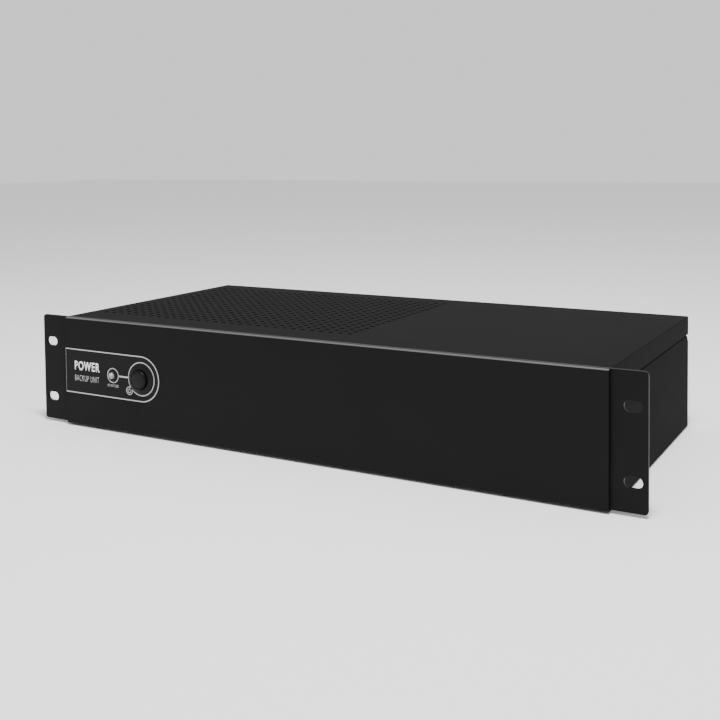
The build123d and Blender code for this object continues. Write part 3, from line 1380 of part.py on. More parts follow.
def main():
    """Build every piece and write one file for each."""
    os.makedirs("parts", exist_ok=True)
    make_base_tray()
    make_rear_panel()
    make_lid()
    make_front_plate()
    make_fascia()
    make_fascia_nuts()
    make_label_overlay()
    make_screws("front_plate_screws", PLATE_SCREWS + LID_FRONT_SCREWS, EAR_Y, PANEL_SHEET + LID_SHEET, -1)
    make_screws("lid_rear_screws", LID_REAR_SCREWS, REAR_Y + LID_SHEET, LID_SHEET + SHEET, 1)

    make_switch_body()
    make_switch_nut()
    make_power_button()
    make_button_spring()
    make_switch_terminals()
    make_lamp_holder()
    make_status_lamp()

    for index in range(BATTERY_COUNT):
        make_battery(index)
        make_battery_strap(index)
    make_battery_terminals()
    make_battery_pads()
    make_floor_screws()
    make_battery_leads()

    make_transformer_core()
    make_transformer_winding()
    make_transformer_clamp()

    make_main_board()
    make_comms_board()
    make_board_standoffs()
    make_board_screws()
    make_heatsink("heatsink_left", SINK_X - SINK_SPACE / 2, -1)
    make_heatsink("heatsink_right", SINK_X + SINK_SPACE / 2, 1)
    make_power_transistors()
    make_capacitors()
    make_choke()
    make_buzzer()
    make_board_blocks("relays", RELAY_SPOTS, RELAY_SIZE)
    make_board_blocks("chips", CHIP_SPOTS, CHIP_SIZE)
    make_board_blocks("battery_connectors", CONNECTOR_SPOTS, CONNECTOR_SIZE)
    make_board_blocks("battery_fuse", FUSE_SPOTS, FUSE_SIZE)

    for index in range(OUTLET_COUNT):
        make_outlet(index)
    make_inlet_socket()
    make_inlet_pins()
    make_screws("inlet_screws", [(x, SOCKET_Z) for x in INLET_SCREWS], REAR_Y + SOCKET_RIM_THICK,
                SOCKET_RIM_THICK + SHEET, 1)
    make_breaker_body()
    make_breaker_button()
    make_breaker_nut()
    make_data_jack()
    make_usb_port()
    make_earth_stud()

    make_fan_frame()
    make_fan_rotor()
    make_fan_guard()
    make_screws("fan_screws", fan_screw_places(), REAR_Y + GUARD_WIRE, GUARD_WIRE + SHEET + FAN_SCREW_BITE, 1)


main()
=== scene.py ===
"""Looks of a two-unit rack-mount uninterruptible power supply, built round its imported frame."""

import json
import logging
import math
from dataclasses import dataclass
from enum import Enum
from typing import Callable

import bpy
from mathutils import Matrix, Vector


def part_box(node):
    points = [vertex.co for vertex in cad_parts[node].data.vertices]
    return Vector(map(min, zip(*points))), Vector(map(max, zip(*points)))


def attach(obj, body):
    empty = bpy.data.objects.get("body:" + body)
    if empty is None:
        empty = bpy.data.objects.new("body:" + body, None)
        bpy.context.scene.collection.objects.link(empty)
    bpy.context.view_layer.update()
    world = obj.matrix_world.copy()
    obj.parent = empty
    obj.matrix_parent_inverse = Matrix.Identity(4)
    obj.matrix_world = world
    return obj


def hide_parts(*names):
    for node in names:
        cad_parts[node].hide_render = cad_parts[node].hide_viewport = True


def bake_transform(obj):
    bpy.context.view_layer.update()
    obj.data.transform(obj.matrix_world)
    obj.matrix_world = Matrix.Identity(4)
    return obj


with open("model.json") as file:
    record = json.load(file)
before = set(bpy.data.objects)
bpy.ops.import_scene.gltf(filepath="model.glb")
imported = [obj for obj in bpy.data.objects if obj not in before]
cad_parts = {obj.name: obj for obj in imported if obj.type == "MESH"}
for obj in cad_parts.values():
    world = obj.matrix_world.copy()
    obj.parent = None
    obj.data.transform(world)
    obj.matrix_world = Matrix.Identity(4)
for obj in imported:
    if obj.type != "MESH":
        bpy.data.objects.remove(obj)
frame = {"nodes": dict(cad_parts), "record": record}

Piece = bpy.types.Object
Socket = bpy.types.NodeSocket
Triple = tuple[float, float, float]

log = logging.getLogger("rack_ups")

MM = 0.001
NEAR = 0.01 * MM
CASE = "case"


class Axis(Enum):
    """Direction that a round piece stands along, as the turn that a Z primitive needs."""

    ACROSS = (0.0, math.pi / 2, 0.0)
    FRONT = (math.pi / 2, 0.0, 0.0)
    UP = (0.0, 0.0, 0.0)


# ---------------------------------------------------------------- finishes


class Shader:
    """A node material that is built up step by step round one Principled shader."""

    def __init__(self, name: str) -> None:
        """Start a material.

        Args:
            name: the material's name.
        """
        self.material = bpy.data.materials.new(name)
        self.material.use_nodes = True
        self.tree = self.material.node_tree
        self.tree.nodes.clear()
        self.surface = self.tree.nodes.new("ShaderNodeBsdfPrincipled")
        output = self.tree.nodes.new("ShaderNodeOutputMaterial")
        self.tree.links.new(self.surface.outputs["BSDF"], output.inputs["Surface"])
        self.place = self.tree.nodes.new("ShaderNodeTexCoord")

    def fixed(self, **values: float) -> None:
        """Set constant shader inputs.

        Args:
            values: the socket's name with underscores for spaces, and its value.
        """
        for name, value in values.items():
            self.surface.inputs[name.replace("_", " ")].default_value = value

    def stretched(self, scale: Triple) -> Socket:
        """Object coordinates, scaled apart along each axis.

        Args:
            scale: the factor along X, Y and Z.

        Returns:
            The vector socket.
        """
        mapping = self.tree.nodes.new("ShaderNodeMapping")
        mapping.inputs["Scale"].default_value = scale
        self.tree.links.new(self.place.outputs["Object"], mapping.inputs["Vector"])
        return mapping.outputs["Vector"]

    def noise(
        self, size_mm: float, detail: float = 3.0, vector: Socket | None = None
    ) -> Socket:
        """A cloudy pattern.

        Args:
            size_mm: how wide one cloud is.
            detail: how many finer layers it carries.
            vector: coordinates, or None for plain object coordinates.

        Returns:
            The factor socket.
        """
        node = self.tree.nodes.new("ShaderNodeTexNoise")
        node.inputs["Scale"].default_value = 1 / (size_mm * MM)
        node.inputs["Detail"].default_value = detail
        self.tree.links.new(vector or self.place.outputs["Object"], node.inputs["Vector"])
        return node.outputs["Fac"]

    def cells(self, size_mm: float) -> Socket:
        """A pebbled pattern of round cells.

        Args:
            size_mm: how wide one cell is.

        Returns:
            The distance socket.
        """
        node = self.tree.nodes.new("ShaderNodeTexVoronoi")
        node.inputs["Scale"].default_value = 1 / (size_mm * MM)
        self.tree.links.new(self.place.outputs["Object"], node.inputs["Vector"])
        return node.outputs["Distance"]

    def waves(self, size_mm: float, direction: str, distortion: float = 0.0) -> Socket:
        """Parallel bands.

        Args:
            size_mm: the distance from one band to the next.
            direction: X, Y or Z, the way the bands follow each other.
            distortion: how much they wander.

        Returns:
            The factor socket.
        """
        node = self.tree.nodes.new("ShaderNodeTexWave")
        node.bands_direction = direction
        node.inputs["Scale"].default_value = math.pi / (10 * size_mm * MM)
        node.inputs["Distortion"].default_value = distortion
        self.tree.links.new(self.place.outputs["Object"], node.inputs["Vector"])
        return node.outputs["Fac"]

    def ramp(self, factor: Socket, low: float, high: float) -> Socket:
        """A factor spread between two values.

        Args:
            factor: the pattern, from 0 to 1.
            low: the value at 0.
            high: the value at 1.

        Returns:
            The result socket.
        """
        node = self.tree.nodes.new("ShaderNodeMapRange")
        node.inputs["To Min"].default_value = low
        node.inputs["To Max"].default_value = high
        self.tree.links.new(factor, node.inputs["Value"])
        return node.outputs["Result"]

    def colours(self, factor: Socket, first: tuple[float, ...], second: tuple[float, ...],
                edges: tuple[float, float] = (0.0, 1.0)) -> None:
        """Blend the base colour between two colours.

        Args:
            factor: the pattern that blends them.
            first: the colour where the pattern is low.
            second: the colour where it is high.
            edges: the pattern's values where the blend starts and ends.
        """
        node = self.tree.nodes.new("ShaderNodeValToRGB")
        start, end = node.color_ramp.elements
        start.position, end.position = edges
        start.color = (*first, 1.0)
        end.color = (*second, 1.0)
        self.tree.links.new(factor, node.inputs["Fac"])
        self.tree.links.new(node.outputs["Color"], self.surface.inputs["Base Color"])

    def roughen(self, factor: Socket, low: float, high: float) -> None:
        """Vary the roughness.

        Args:
            factor: the pattern that varies it.
            low: the roughness where the pattern is low.
            high: the roughness where it is high.
        """
        self.tree.links.new(self.ramp(factor, low, high), self.surface.inputs["Roughness"])

    def relief(self, height: Socket, depth_mm: float, strength: float = 1.0) -> None:
        """Raise the surface.

        Args:
            height: the pattern, high where the surface stands out.
            depth_mm: how far it stands out.
            strength: how much of it shows.
        """
        node = self.tree.nodes.new("ShaderNodeBump")
        node.inputs["Distance"].default_value = depth_mm * MM
        node.inputs["Strength"].default_value = strength
        self.tree.links.new(height, node.inputs["Height"])
        self.tree.links.new(node.outputs["Normal"], self.surface.inputs["Normal"])


def shade(colour: Triple, factor: float) -> Triple:
    """A colour made lighter or darker.

    Args:
        colour: the linear colour.
        factor: above 1 for lighter, below 1 for darker.

    Returns:
        The new colour.
    """
    return tuple(min(1.0, channel * factor) for channel in colour)


@dataclass(frozen=True)
class Finish:
    """What every surface finish has."""

    name: str
    colour: Triple

    def material(self) -> bpy.types.Material:
        """Build the material.

        Returns:
            The material.
        """
        shader = Shader(self.name)
        self.paint(shader)
        return shader.material

    def paint(self, shader: Shader) -> None:
        """Set the shader up, as each kind of finish does in its own way."""
        raise NotImplementedError


@dataclass(frozen=True)
class PowderCoat(Finish):
    """Baked paint with a fine orange-peel grain."""

    roughness: float = 0.5
    gloss: float = 0.1
    grain_mm: float = 0.5
    grain_depth_mm: float = 0.03

    def paint(self, shader: Shader) -> None:
        """Set the shader up.

        Args:
            shader: the shader.
        """
        cloud = shader.noise(38.0, 2.0)
        shader.colours(cloud, shade(self.colour, 0.96), shade(self.colour, 1.04), (0.3, 0.7))
        shader.roughen(shader.noise(1.2, 3.0), self.roughness - 0.04, self.roughness + 0.04)
        shader.relief(shader.noise(self.grain_mm, 4.0), self.grain_depth_mm, 0.6)
        shader.fixed(Specular_IOR_Level=self.gloss)


@dataclass(frozen=True)
class Moulding(Finish):
    """Injection-moulded plastic or rubber with a spark-eroded grain."""

    roughness: float = 0.4
    gloss: float = 0.4
    grain_mm: float = 0.25
    grain_depth_mm: float = 0.01

    def paint(self, shader: Shader) -> None:
        """Set the shader up.

        Args:
            shader: the shader.
        """
        shader.colours(shader.noise(6.0), shade(self.colour, 0.88), shade(self.colour, 1.12), (0.3, 0.7))
        shader.roughen(shader.noise(3.0), self.roughness - 0.06, self.roughness + 0.06)
        shader.relief(shader.cells(self.grain_mm), self.grain_depth_mm, 0.5)
        shader.fixed(Specular_IOR_Level=self.gloss)


@dataclass(frozen=True)
class Metal(Finish):
    """Bare or plated metal with fine marks drawn out along one axis."""

    roughness: float = 0.3
    marks: Triple = (0.05, 1.0, 1.0)
    mark_mm: float = 0.4

    def paint(self, shader: Shader) -> None:
        """Set the shader up.

        Args:
            shader: the shader.
        """
        lines = shader.noise(self.mark_mm, 4.0, shader.stretched(self.marks))
        shader.colours(shader.noise(5.0), shade(self.colour, 0.86), shade(self.colour, 1.06), (0.3, 0.7))
        shader.roughen(lines, self.roughness - 0.08, self.roughness + 0.12)
        shader.relief(lines, 0.01, 0.4)
        shader.fixed(Metallic=1.0)


@dataclass(frozen=True)
class Banded(Finish):
    """A stack or a winding: narrow bands of two colours, raised one beside the next."""

    other: Triple
    pitch_mm: float
    direction: str
    metallic: float = 0.0
    roughness: float = 0.45

    def paint(self, shader: Shader) -> None:
        """Set the shader up.

        Args:
            shader: the shader.
        """
        bands = shader.waves(self.pitch_mm, self.direction, 0.15)
        shader.colours(bands, self.other, self.colour, (0.15, 0.6))
        shader.roughen(shader.noise(4.0), self.roughness - 0.1, self.roughness + 0.1)
        shader.relief(bands, self.pitch_mm * 0.2, 0.6)
        shader.fixed(Metallic=self.metallic)


@dataclass(frozen=True)
class CircuitMask(Finish):
    """Green solder mask over copper tracks."""

    track: Triple

    def paint(self, shader: Shader) -> None:
        """Set the shader up.

        Args:
            shader: the shader.
        """
        node = shader.tree.nodes.new("ShaderNodeTexBrick")
        node.inputs["Scale"].default_value = 60.0
        node.inputs["Mortar Size"].default_value = 0.012
        node.inputs["Color1"].default_value = (*self.colour, 1.0)
        node.inputs["Color2"].default_value = (*shade(self.colour, 1.35), 1.0)
        node.inputs["Mortar"].default_value = (*self.track, 1.0)
        shader.tree.links.new(shader.place.outputs["Object"], node.inputs["Vector"])
        shader.tree.links.new(node.outputs["Color"], shader.surface.inputs["Base Color"])
        shader.roughen(shader.noise(2.0), 0.25, 0.4)
        shader.relief(node.outputs["Fac"], 0.03, 0.5)


@dataclass(frozen=True)
class Lens(Finish):
    """Clear or tinted moulded resin."""

    roughness: float = 0.08

    def paint(self, shader: Shader) -> None:
        """Set the shader up.

        Args:
            shader: the shader.
        """
        shader.fixed(Transmission_Weight=0.85, IOR=1.5)
        shader.colours(shader.noise(1.5), shade(self.colour, 0.9), self.colour)
        shader.roughen(shader.noise(1.0), self.roughness, self.roughness + 0.08)


@dataclass(frozen=True)
class Ink(Finish):
    """Screen-printed metallic or white ink."""

    metallic: float = 0.0

    def paint(self, shader: Shader) -> None:
        """Set the shader up.

        Args:
            shader: the shader.
        """
        shader.colours(shader.noise(0.4), shade(self.colour, 0.86), self.colour, (0.35, 0.6))
        shader.roughen(shader.noise(0.3), 0.35, 0.5)
        shader.relief(shader.noise(0.15), 0.004, 0.4)
        shader.fixed(Metallic=self.metallic)


PAINT = (0.0085, 0.0085, 0.0088)
PLASTIC = (0.009, 0.009, 0.0095)
FINISHES = {
    # powder_black (0.7 of the lid's paint) and powder_black_front (0.8, with more real gloss) are darker
    # copies of one paint: painted shade that keeps the sides, rear and front darker than the lid's top.
    "powder_black": PowderCoat("powder_black", shade(PAINT, 0.7), 0.6, 0.01),
    "powder_black_lid": PowderCoat("powder_black_lid", PAINT, 0.6, 0.01),
    "powder_black_front": PowderCoat("powder_black_front", shade(PAINT, 0.8), 0.36, 0.06),
    "zinc_steel": Metal("zinc_steel", (0.62, 0.62, 0.58), 0.32),
    "black_steel": PowderCoat("black_steel", PLASTIC, 0.35, 0.4, 0.3, 0.01),
    "spring_steel": Metal("spring_steel", (0.5, 0.5, 0.5), 0.25),
    "label_film": PowderCoat("label_film", shade(PAINT, 1.1), 0.38, 0.06, 0.3, 0.012),
    "black_nylon": Moulding("black_nylon", shade(PLASTIC, 0.7), 0.24, 0.1),
    "black_button": Moulding("black_button", shade(PLASTIC, 0.5), 0.32, 0.14),
    "lamp_lens": Lens("lamp_lens", (0.86, 0.88, 0.9)),
    "tinned_brass": Metal("tinned_brass", (0.66, 0.62, 0.52), 0.3),
    "battery_case": Moulding("battery_case", (0.03, 0.03, 0.033), 0.5),
    "foam": Moulding("foam", (0.02, 0.02, 0.02), 0.9, 0.1, 0.6, 0.12),
    "lead_black": Moulding("lead_black", (0.012, 0.012, 0.012), 0.4),
    "lead_red": Moulding("lead_red", (0.45, 0.02, 0.015), 0.4),
    "lamination": Banded("lamination", (0.2, 0.18, 0.16), (0.05, 0.045, 0.04), 0.5, "Y", 0.6),
    "coil_tape": Banded("coil_tape", (0.7, 0.5, 0.1), (0.55, 0.36, 0.06), 4.0, "Z"),
    "circuit_green": CircuitMask("circuit_green", (0.012, 0.1, 0.035), (0.03, 0.22, 0.08)),
    "brass": Metal("brass", (0.72, 0.52, 0.22), 0.28),
    "sink_aluminium": Metal("sink_aluminium", (0.75, 0.75, 0.77), 0.35, (1.0, 0.03, 1.0)),
    "component_black": Moulding("component_black", (0.015, 0.015, 0.015), 0.55),
    "capacitor_sleeve": Moulding("capacitor_sleeve", (0.012, 0.02, 0.07), 0.25, 0.5),
    "choke_copper": Metal("choke_copper", (0.72, 0.28, 0.1), 0.3),
    "relay_case": Moulding("relay_case", (0.015, 0.06, 0.25), 0.4),
    "connector_white": Moulding("connector_white", (0.72, 0.7, 0.62), 0.5),
    "socket_black": Moulding("socket_black", PLASTIC, 0.42, 0.3),
    "nickel": Metal("nickel", (0.75, 0.72, 0.66), 0.2),
    "breaker_button": Moulding("breaker_button", (0.5, 0.03, 0.02), 0.3, 0.5),
    "port_shell": Metal("port_shell", (0.7, 0.7, 0.7), 0.3),
    "fan_black": Moulding("fan_black", PLASTIC, 0.5, 0.4),
    "chrome_wire": Metal("chrome_wire", (0.42, 0.42, 0.43), 0.22),
}
SILVER_INK = Ink("silver_ink", (0.48, 0.48, 0.49), 0.35)
# Painted highlight for the fascia's upper fold: the front paint made nine times lighter, with real extra
# gloss on top.
FOLD_PAINTED_HIGHLIGHT = PowderCoat("fold_painted_highlight", shade(PAINT, 9), 0.3, 0.5)
WHITE_INK = Ink("white_ink", (0.9, 0.9, 0.9))


class Palette:
    """Hands out each finish's material, made once."""

    def __init__(self) -> None:
        """Start with no materials made."""
        self.made: dict[str, bpy.types.Material] = {}

    def of(self, finish: Finish) -> bpy.types.Material:
        """The material of a finish.

        Args:
            finish: a finish dataclass.

        Returns:
            Its material.
        """
        if finish.name not in self.made:
            self.made[finish.name] = finish.material()
        return self.made[finish.name]

    def slot(self, name: str) -> bpy.types.Material:
        """The material of a record slot.

        Args:
            name: the slot's name.

        Returns:
            Its material.
        """
        return self.of(FINISHES[name])


PALETTE = Palette()
SLOT_OF = {part["node"]: part["material_slot"] for part in frame["record"]["subparts"]}
BODY_OF = {node: body for body, nodes in frame["record"]["behaviour"]["bodies"].items() for node in nodes}


# ---------------------------------------------------------------- modelling moves


class Bench:
    """Modelling moves that every sub-assembly shares."""

    @staticmethod
    def pick(piece: Piece) -> None:
        """Make one object the only selected and active one.

        Args:
            piece: the object.
        """
        bpy.ops.object.select_all(action="DESELECT")
        piece.select_set(True)
        bpy.context.view_layer.objects.active = piece

    @staticmethod
    def settle(piece: Piece) -> Piece:
        """Put an object's place, turn and scale into its mesh.

        Args:
            piece: the object.

        Returns:
            The same object.
        """
        Bench.pick(piece)
        bpy.ops.object.transform_apply(location=True, rotation=True, scale=True)
        return piece

    @staticmethod
    def named(name: str, scale: Triple = (1.0, 1.0, 1.0)) -> Piece:
        """Name and settle the primitive that was just added.

        Args:
            name: the object's name.
            scale: its scale, which goes into its mesh.

        Returns:
            The object.
        """
        piece = bpy.context.active_object
        piece.name = name
        piece.scale = scale
        return Bench.settle(piece)

    @staticmethod
    def box(name: str, low: Vector, high: Vector) -> Piece:
        """A box between two corners.

        Args:
            name: the object's name.
            low: its lowest corner.
            high: its highest corner.

        Returns:
            The object, settled.
        """
        bpy.ops.object.select_all(action="DESELECT")
        bpy.ops.mesh.primitive_cube_add(size=1.0, location=(Vector(low) + Vector(high)) / 2)
        return Bench.named(name, Vector(high) - Vector(low))

    @staticmethod
    def drum(
        name: str, centre: Vector, radius: float, depth: float, axis: Axis, sides: int = 48
    ) -> Piece:
        """A cylinder.

        Args:
            name: the object's name.
            centre: its middle.
            radius: its radius.
            depth: its length.
            axis: the way it stands.
            sides: the number of its sides.

        Returns:
            The object, settled.
        """
        bpy.ops.object.select_all(action="DESELECT")
        bpy.ops.mesh.primitive_cylinder_add(
            vertices=sides, radius=radius, depth=depth, location=centre, rotation=axis.value
        )
        return Bench.named(name)

    @staticmethod
    def disc(name: str, centre: Vector, radius: float, sides: int = 96) -> Piece:
        """A flat disc that faces the front.

        Args:
            name: the object's name.
            centre: its middle.
            radius: its radius.
            sides: the number of its sides.

        Returns:
            The object, settled.
        """
        bpy.ops.object.select_all(action="DESELECT")
        bpy.ops.mesh.primitive_circle_add(
            vertices=sides, radius=radius, fill_type="NGON", location=centre, rotation=Axis.FRONT.value
        )
        return Bench.named(name)

    @staticmethod
    def panel(name: str, centre: Vector, wide: float, tall: float) -> Piece:
        """A flat rectangle that faces the front.

        Args:
            name: the object's name.
            centre: its middle.
            wide: its size along X.
            tall: its size along Z.

        Returns:
            The object, settled.
        """
        bpy.ops.object.select_all(action="DESELECT")
        bpy.ops.mesh.primitive_plane_add(size=1.0, location=centre, rotation=Axis.FRONT.value)
        return Bench.named(name, (wide, tall, 1.0))

    @staticmethod
    def duplicate(piece: Piece) -> Piece:
        """A copy of a piece, with its own mesh.

        Args:
            piece: the piece.

        Returns:
            The copy.
        """
        Bench.pick(piece)
        bpy.ops.object.duplicate(linked=False)
        return bpy.context.active_object

    @staticmethod
    def repeated(name: str, piece: Piece, shifts: list[Vector]) -> Piece:
        """Copies of one piece, each moved by a shift and all joined. The first stays where it is.

        Args:
            name: the joined object's name.
            piece: the piece that is copied.
            shifts: how far each copy stands from it.

        Returns:
            The joined object.
        """
        copies = [piece]
        for shift in shifts:
            twin = Bench.duplicate(piece)
            twin.location = shift
            copies.append(Bench.settle(twin))
        return Bench.joined(name, copies)

    @staticmethod
    def open_edit(piece: Piece, kind: str, action: str = "DESELECT") -> None:
        """Enter edit mode.

        Args:
            piece: the object.
            kind: what is selected, FACE or VERT.
            action: what is selected at first.
        """
        Bench.pick(piece)
        bpy.ops.object.mode_set(mode="EDIT")
        bpy.ops.mesh.select_mode(type=kind)
        bpy.ops.mesh.select_all(action=action)

    @staticmethod
    def close_edit() -> None:
        """Leave edit mode."""
        bpy.ops.object.mode_set(mode="OBJECT")

    @staticmethod
    def select_faces(piece: Piece, wanted: Callable[[bpy.types.MeshPolygon], bool]) -> None:
        """Select faces, leaving the object in edit mode.

        Args:
            piece: the object.
            wanted: says of a face whether it is wanted.
        """
        Bench.open_edit(piece, "FACE")
        Bench.close_edit()
        for face in piece.data.polygons:
            face.select = bool(wanted(face))
        bpy.ops.object.mode_set(mode="EDIT")

    @staticmethod
    def select_points(piece: Piece, wanted: Callable[[Vector], bool]) -> None:
        """Select vertices by place, leaving the object in edit mode.

        Args:
            piece: the object.
            wanted: says of a vertex position whether it is wanted.
        """
        Bench.open_edit(piece, "VERT")
        Bench.close_edit()
        for vertex in piece.data.vertices:
            vertex.select = bool(wanted(vertex.co))
        bpy.ops.object.mode_set(mode="EDIT")

    @staticmethod
    def modify(piece: Piece, kind: str, **settings: object) -> Piece:
        """Add a modifier and apply it.

        Args:
            piece: the object.
            kind: the modifier's type.
            settings: its values.

        Returns:
            The same object.
        """
        Bench.pick(piece)
        modifier = piece.modifiers.new(kind.lower(), kind)
        for name, value in settings.items():
            setattr(modifier, name, value)
        bpy.ops.object.modifier_apply(modifier=modifier.name)
        return piece

    @staticmethod
    def soften(
        piece: Piece, width_mm: float, segments: int = 2, angle: float = 40.0
    ) -> Piece:
        """Round a piece's sharp edges and shade the rest smooth.

        Args:
            piece: the object.
            width_mm: the rounding's width.
            segments: its steps.
            angle: the least turn, in degrees, of an edge that counts as sharp.

        Returns:
            The same object.
        """
        Bench.modify(piece, "BEVEL", width=width_mm * MM, segments=segments, limit_method="ANGLE",
                     angle_limit=math.radians(angle), use_clamp_overlap=True, harden_normals=False)
        Bench.pick(piece)
        bpy.ops.object.shade_smooth_by_angle(angle=math.radians(angle))
        return Bench.modify(piece, "WEIGHTED_NORMAL", keep_sharp=True, weight=100)

    @staticmethod
    def joined(name: str, pieces: list[Piece]) -> Piece:
        """Join pieces into one object.

        Args:
            name: the joined object's name.
            pieces: the objects.

        Returns:
            The joined object.
        """
        bpy.ops.object.select_all(action="DESELECT")
        for piece in pieces:
            piece.select_set(True)
        bpy.context.view_layer.objects.active = pieces[0]
        if len(pieces) > 1:
            bpy.ops.object.join()
        pieces[0].name = name
        pieces[0].data.name = name
        return pieces[0]

    @staticmethod
    def finish(
        piece: Piece, slot: str, finish: Finish | None = None, body: str = CASE
    ) -> Piece:
        """Dress a piece and mount it on its body.

        Args:
            piece: the object.
            slot: the record slot that it takes its finish from.
            finish: another finish to show, or None for the slot's own.
            body: the body that it rides on.

        Returns:
            The same object.
        """
        piece.data.materials.clear()
        piece.data.materials.append(PALETTE.of(finish) if finish else PALETTE.slot(slot))
        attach(piece, body)
        log.info("piece %s on %s", piece.name, body)
        return piece

    @staticmethod
    def copy_of(node: str, name: str) -> Piece:
        """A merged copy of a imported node, with its flat stretches joined into whole faces.

        Args:
            node: the node's name.
            name: the copy's name.

        Returns:
            The copy, unparented.
        """
        source = frame["nodes"][node]
        piece = source.copy()
        piece.data = source.data.copy()
        for key in list(piece.keys()):
            del piece[key]
        piece.parent = None
        piece.name = name
        bpy.context.scene.collection.objects.link(piece)
        Bench.pick(piece)
        if piece.data.has_custom_normals:
            bpy.ops.mesh.customdata_custom_splitnormals_clear()
        bpy.ops.object.mode_set(mode="EDIT")
        bpy.ops.mesh.select_all(action="SELECT")
        bpy.ops.mesh.remove_doubles(threshold=0.002 * MM)
        bpy.ops.mesh.dissolve_limited(angle_limit=math.radians(0.5))
        Bench.close_edit()
        return piece

    @staticmethod
    def refine(node: str, width_mm: float, segments: int = 2) -> Piece:
        """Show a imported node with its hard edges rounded.

        Args:
            node: the node's name.
            width_mm: the rounding's width.
            segments: its steps.

        Returns:
            The piece that stands for the node.
        """
        piece = Bench.copy_of(node, f"{node}_shown")
        Bench.soften(piece, width_mm, segments)
        Bench.finish(piece, SLOT_OF[node], body=BODY_OF[node])
        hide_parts(node)
        return piece


# ---------------------------------------------------------------- sub-assemblies


@dataclass
class Dressing:
    """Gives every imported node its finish."""

    def build(self) -> None:
        """Put each node's procedural material in its slots."""
        for name, node in frame["nodes"].items():
            node.data.materials.clear()
            node.data.materials.append(PALETTE.slot(SLOT_OF[name]))
            log.info("node %s in %s", name, SLOT_OF[name])


@dataclass
class Enclosure:
    """Folded sheet pieces with their cut edges broken."""

    edge_mm: float = 0.22
    fold_lean: float = 0.45
    sheets: tuple[str, ...] = ("front_plate", "fascia", "base_tray", "rear_panel")

    def paint_fold_highlight(self, piece: Piece) -> None:
        """Paint a highlight on the front's upper fold: a glossier finish nine times lighter than the
        front's paint, so its bright line is partly real gloss and partly painted highlight.

        Args:
            piece: the fascia.
        """
        piece.data.materials.append(PALETTE.of(FOLD_PAINTED_HIGHLIGHT))
        lean = self.fold_lean
        Bench.select_faces(piece, lambda face: face.normal.z > lean and face.normal.y < -lean)
        piece.active_material_index = 1
        bpy.ops.object.material_slot_assign()
        Bench.close_edit()

    def build(self) -> None:
        """Round the edges of each sheet."""
        for sheet in self.sheets:
            piece = Bench.refine(sheet, self.edge_mm)
            if sheet == "fascia":
                # The fascia's upper fold also gets a painted highlight.
                self.paint_fold_highlight(piece)


@dataclass
class CrossHeads:
    """Screw heads with cross recesses, for the screws that show."""

    slot_mm: float = 0.7
    reach_mm: float = 3.2
    depth_mm: float = 0.9
    head_apart_mm: float = 7.0
    face_slack_mm: float = 0.1
    nodes: tuple[str, ...] = ("lid_rear_screws", "inlet_screws", "fan_screws")

    def heads(self, node: str) -> list[tuple[float, float]]:
        """Centres of a node's screws, found from its loose parts.

        Args:
            node: the node's name.

        Returns:
            The (x, z) of each screw.
        """
        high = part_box(node)[1]
        least_y = high.y - self.face_slack_mm * MM
        points = [v.co for v in frame["nodes"][node].data.vertices if v.co.y > least_y]
        groups: list[list[Vector]] = []
        for point in points:
            for group in groups:
                if (group[0] - point).length < self.head_apart_mm * MM:
                    group.append(point)
                    break
            else:
                groups.append([point])
        return [
            (
                (min(p.x for p in group) + max(p.x for p in group)) / 2,
                (min(p.z for p in group) + max(p.z for p in group)) / 2,
            )
            for group in groups
        ]

    def build(self) -> None:
        """Cut a cross into every head."""
        for node in self.nodes:
            piece = Bench.copy_of(node, f"{node}_shown")
            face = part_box(node)[1].y
            blades = []
            for x, z in self.heads(node):
                for wide, tall in ((self.reach_mm, self.slot_mm), (self.slot_mm, self.reach_mm)):
                    half = Vector((wide / 2, 0, tall / 2)) * MM
                    middle = Vector((x, face, z))
                    depth = Vector((0, self.depth_mm * MM, 0))
                    blades.append(Bench.box("blade", middle - half - depth, middle + half + depth))
            for blade in blades:
                Bench.modify(piece, "BOOLEAN", object=blade, operation="DIFFERENCE", solver="EXACT")
                bpy.data.objects.remove(blade)
            Bench.soften(piece, 0.12, 1)
            Bench.finish(piece, SLOT_OF[node])
            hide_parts(node)


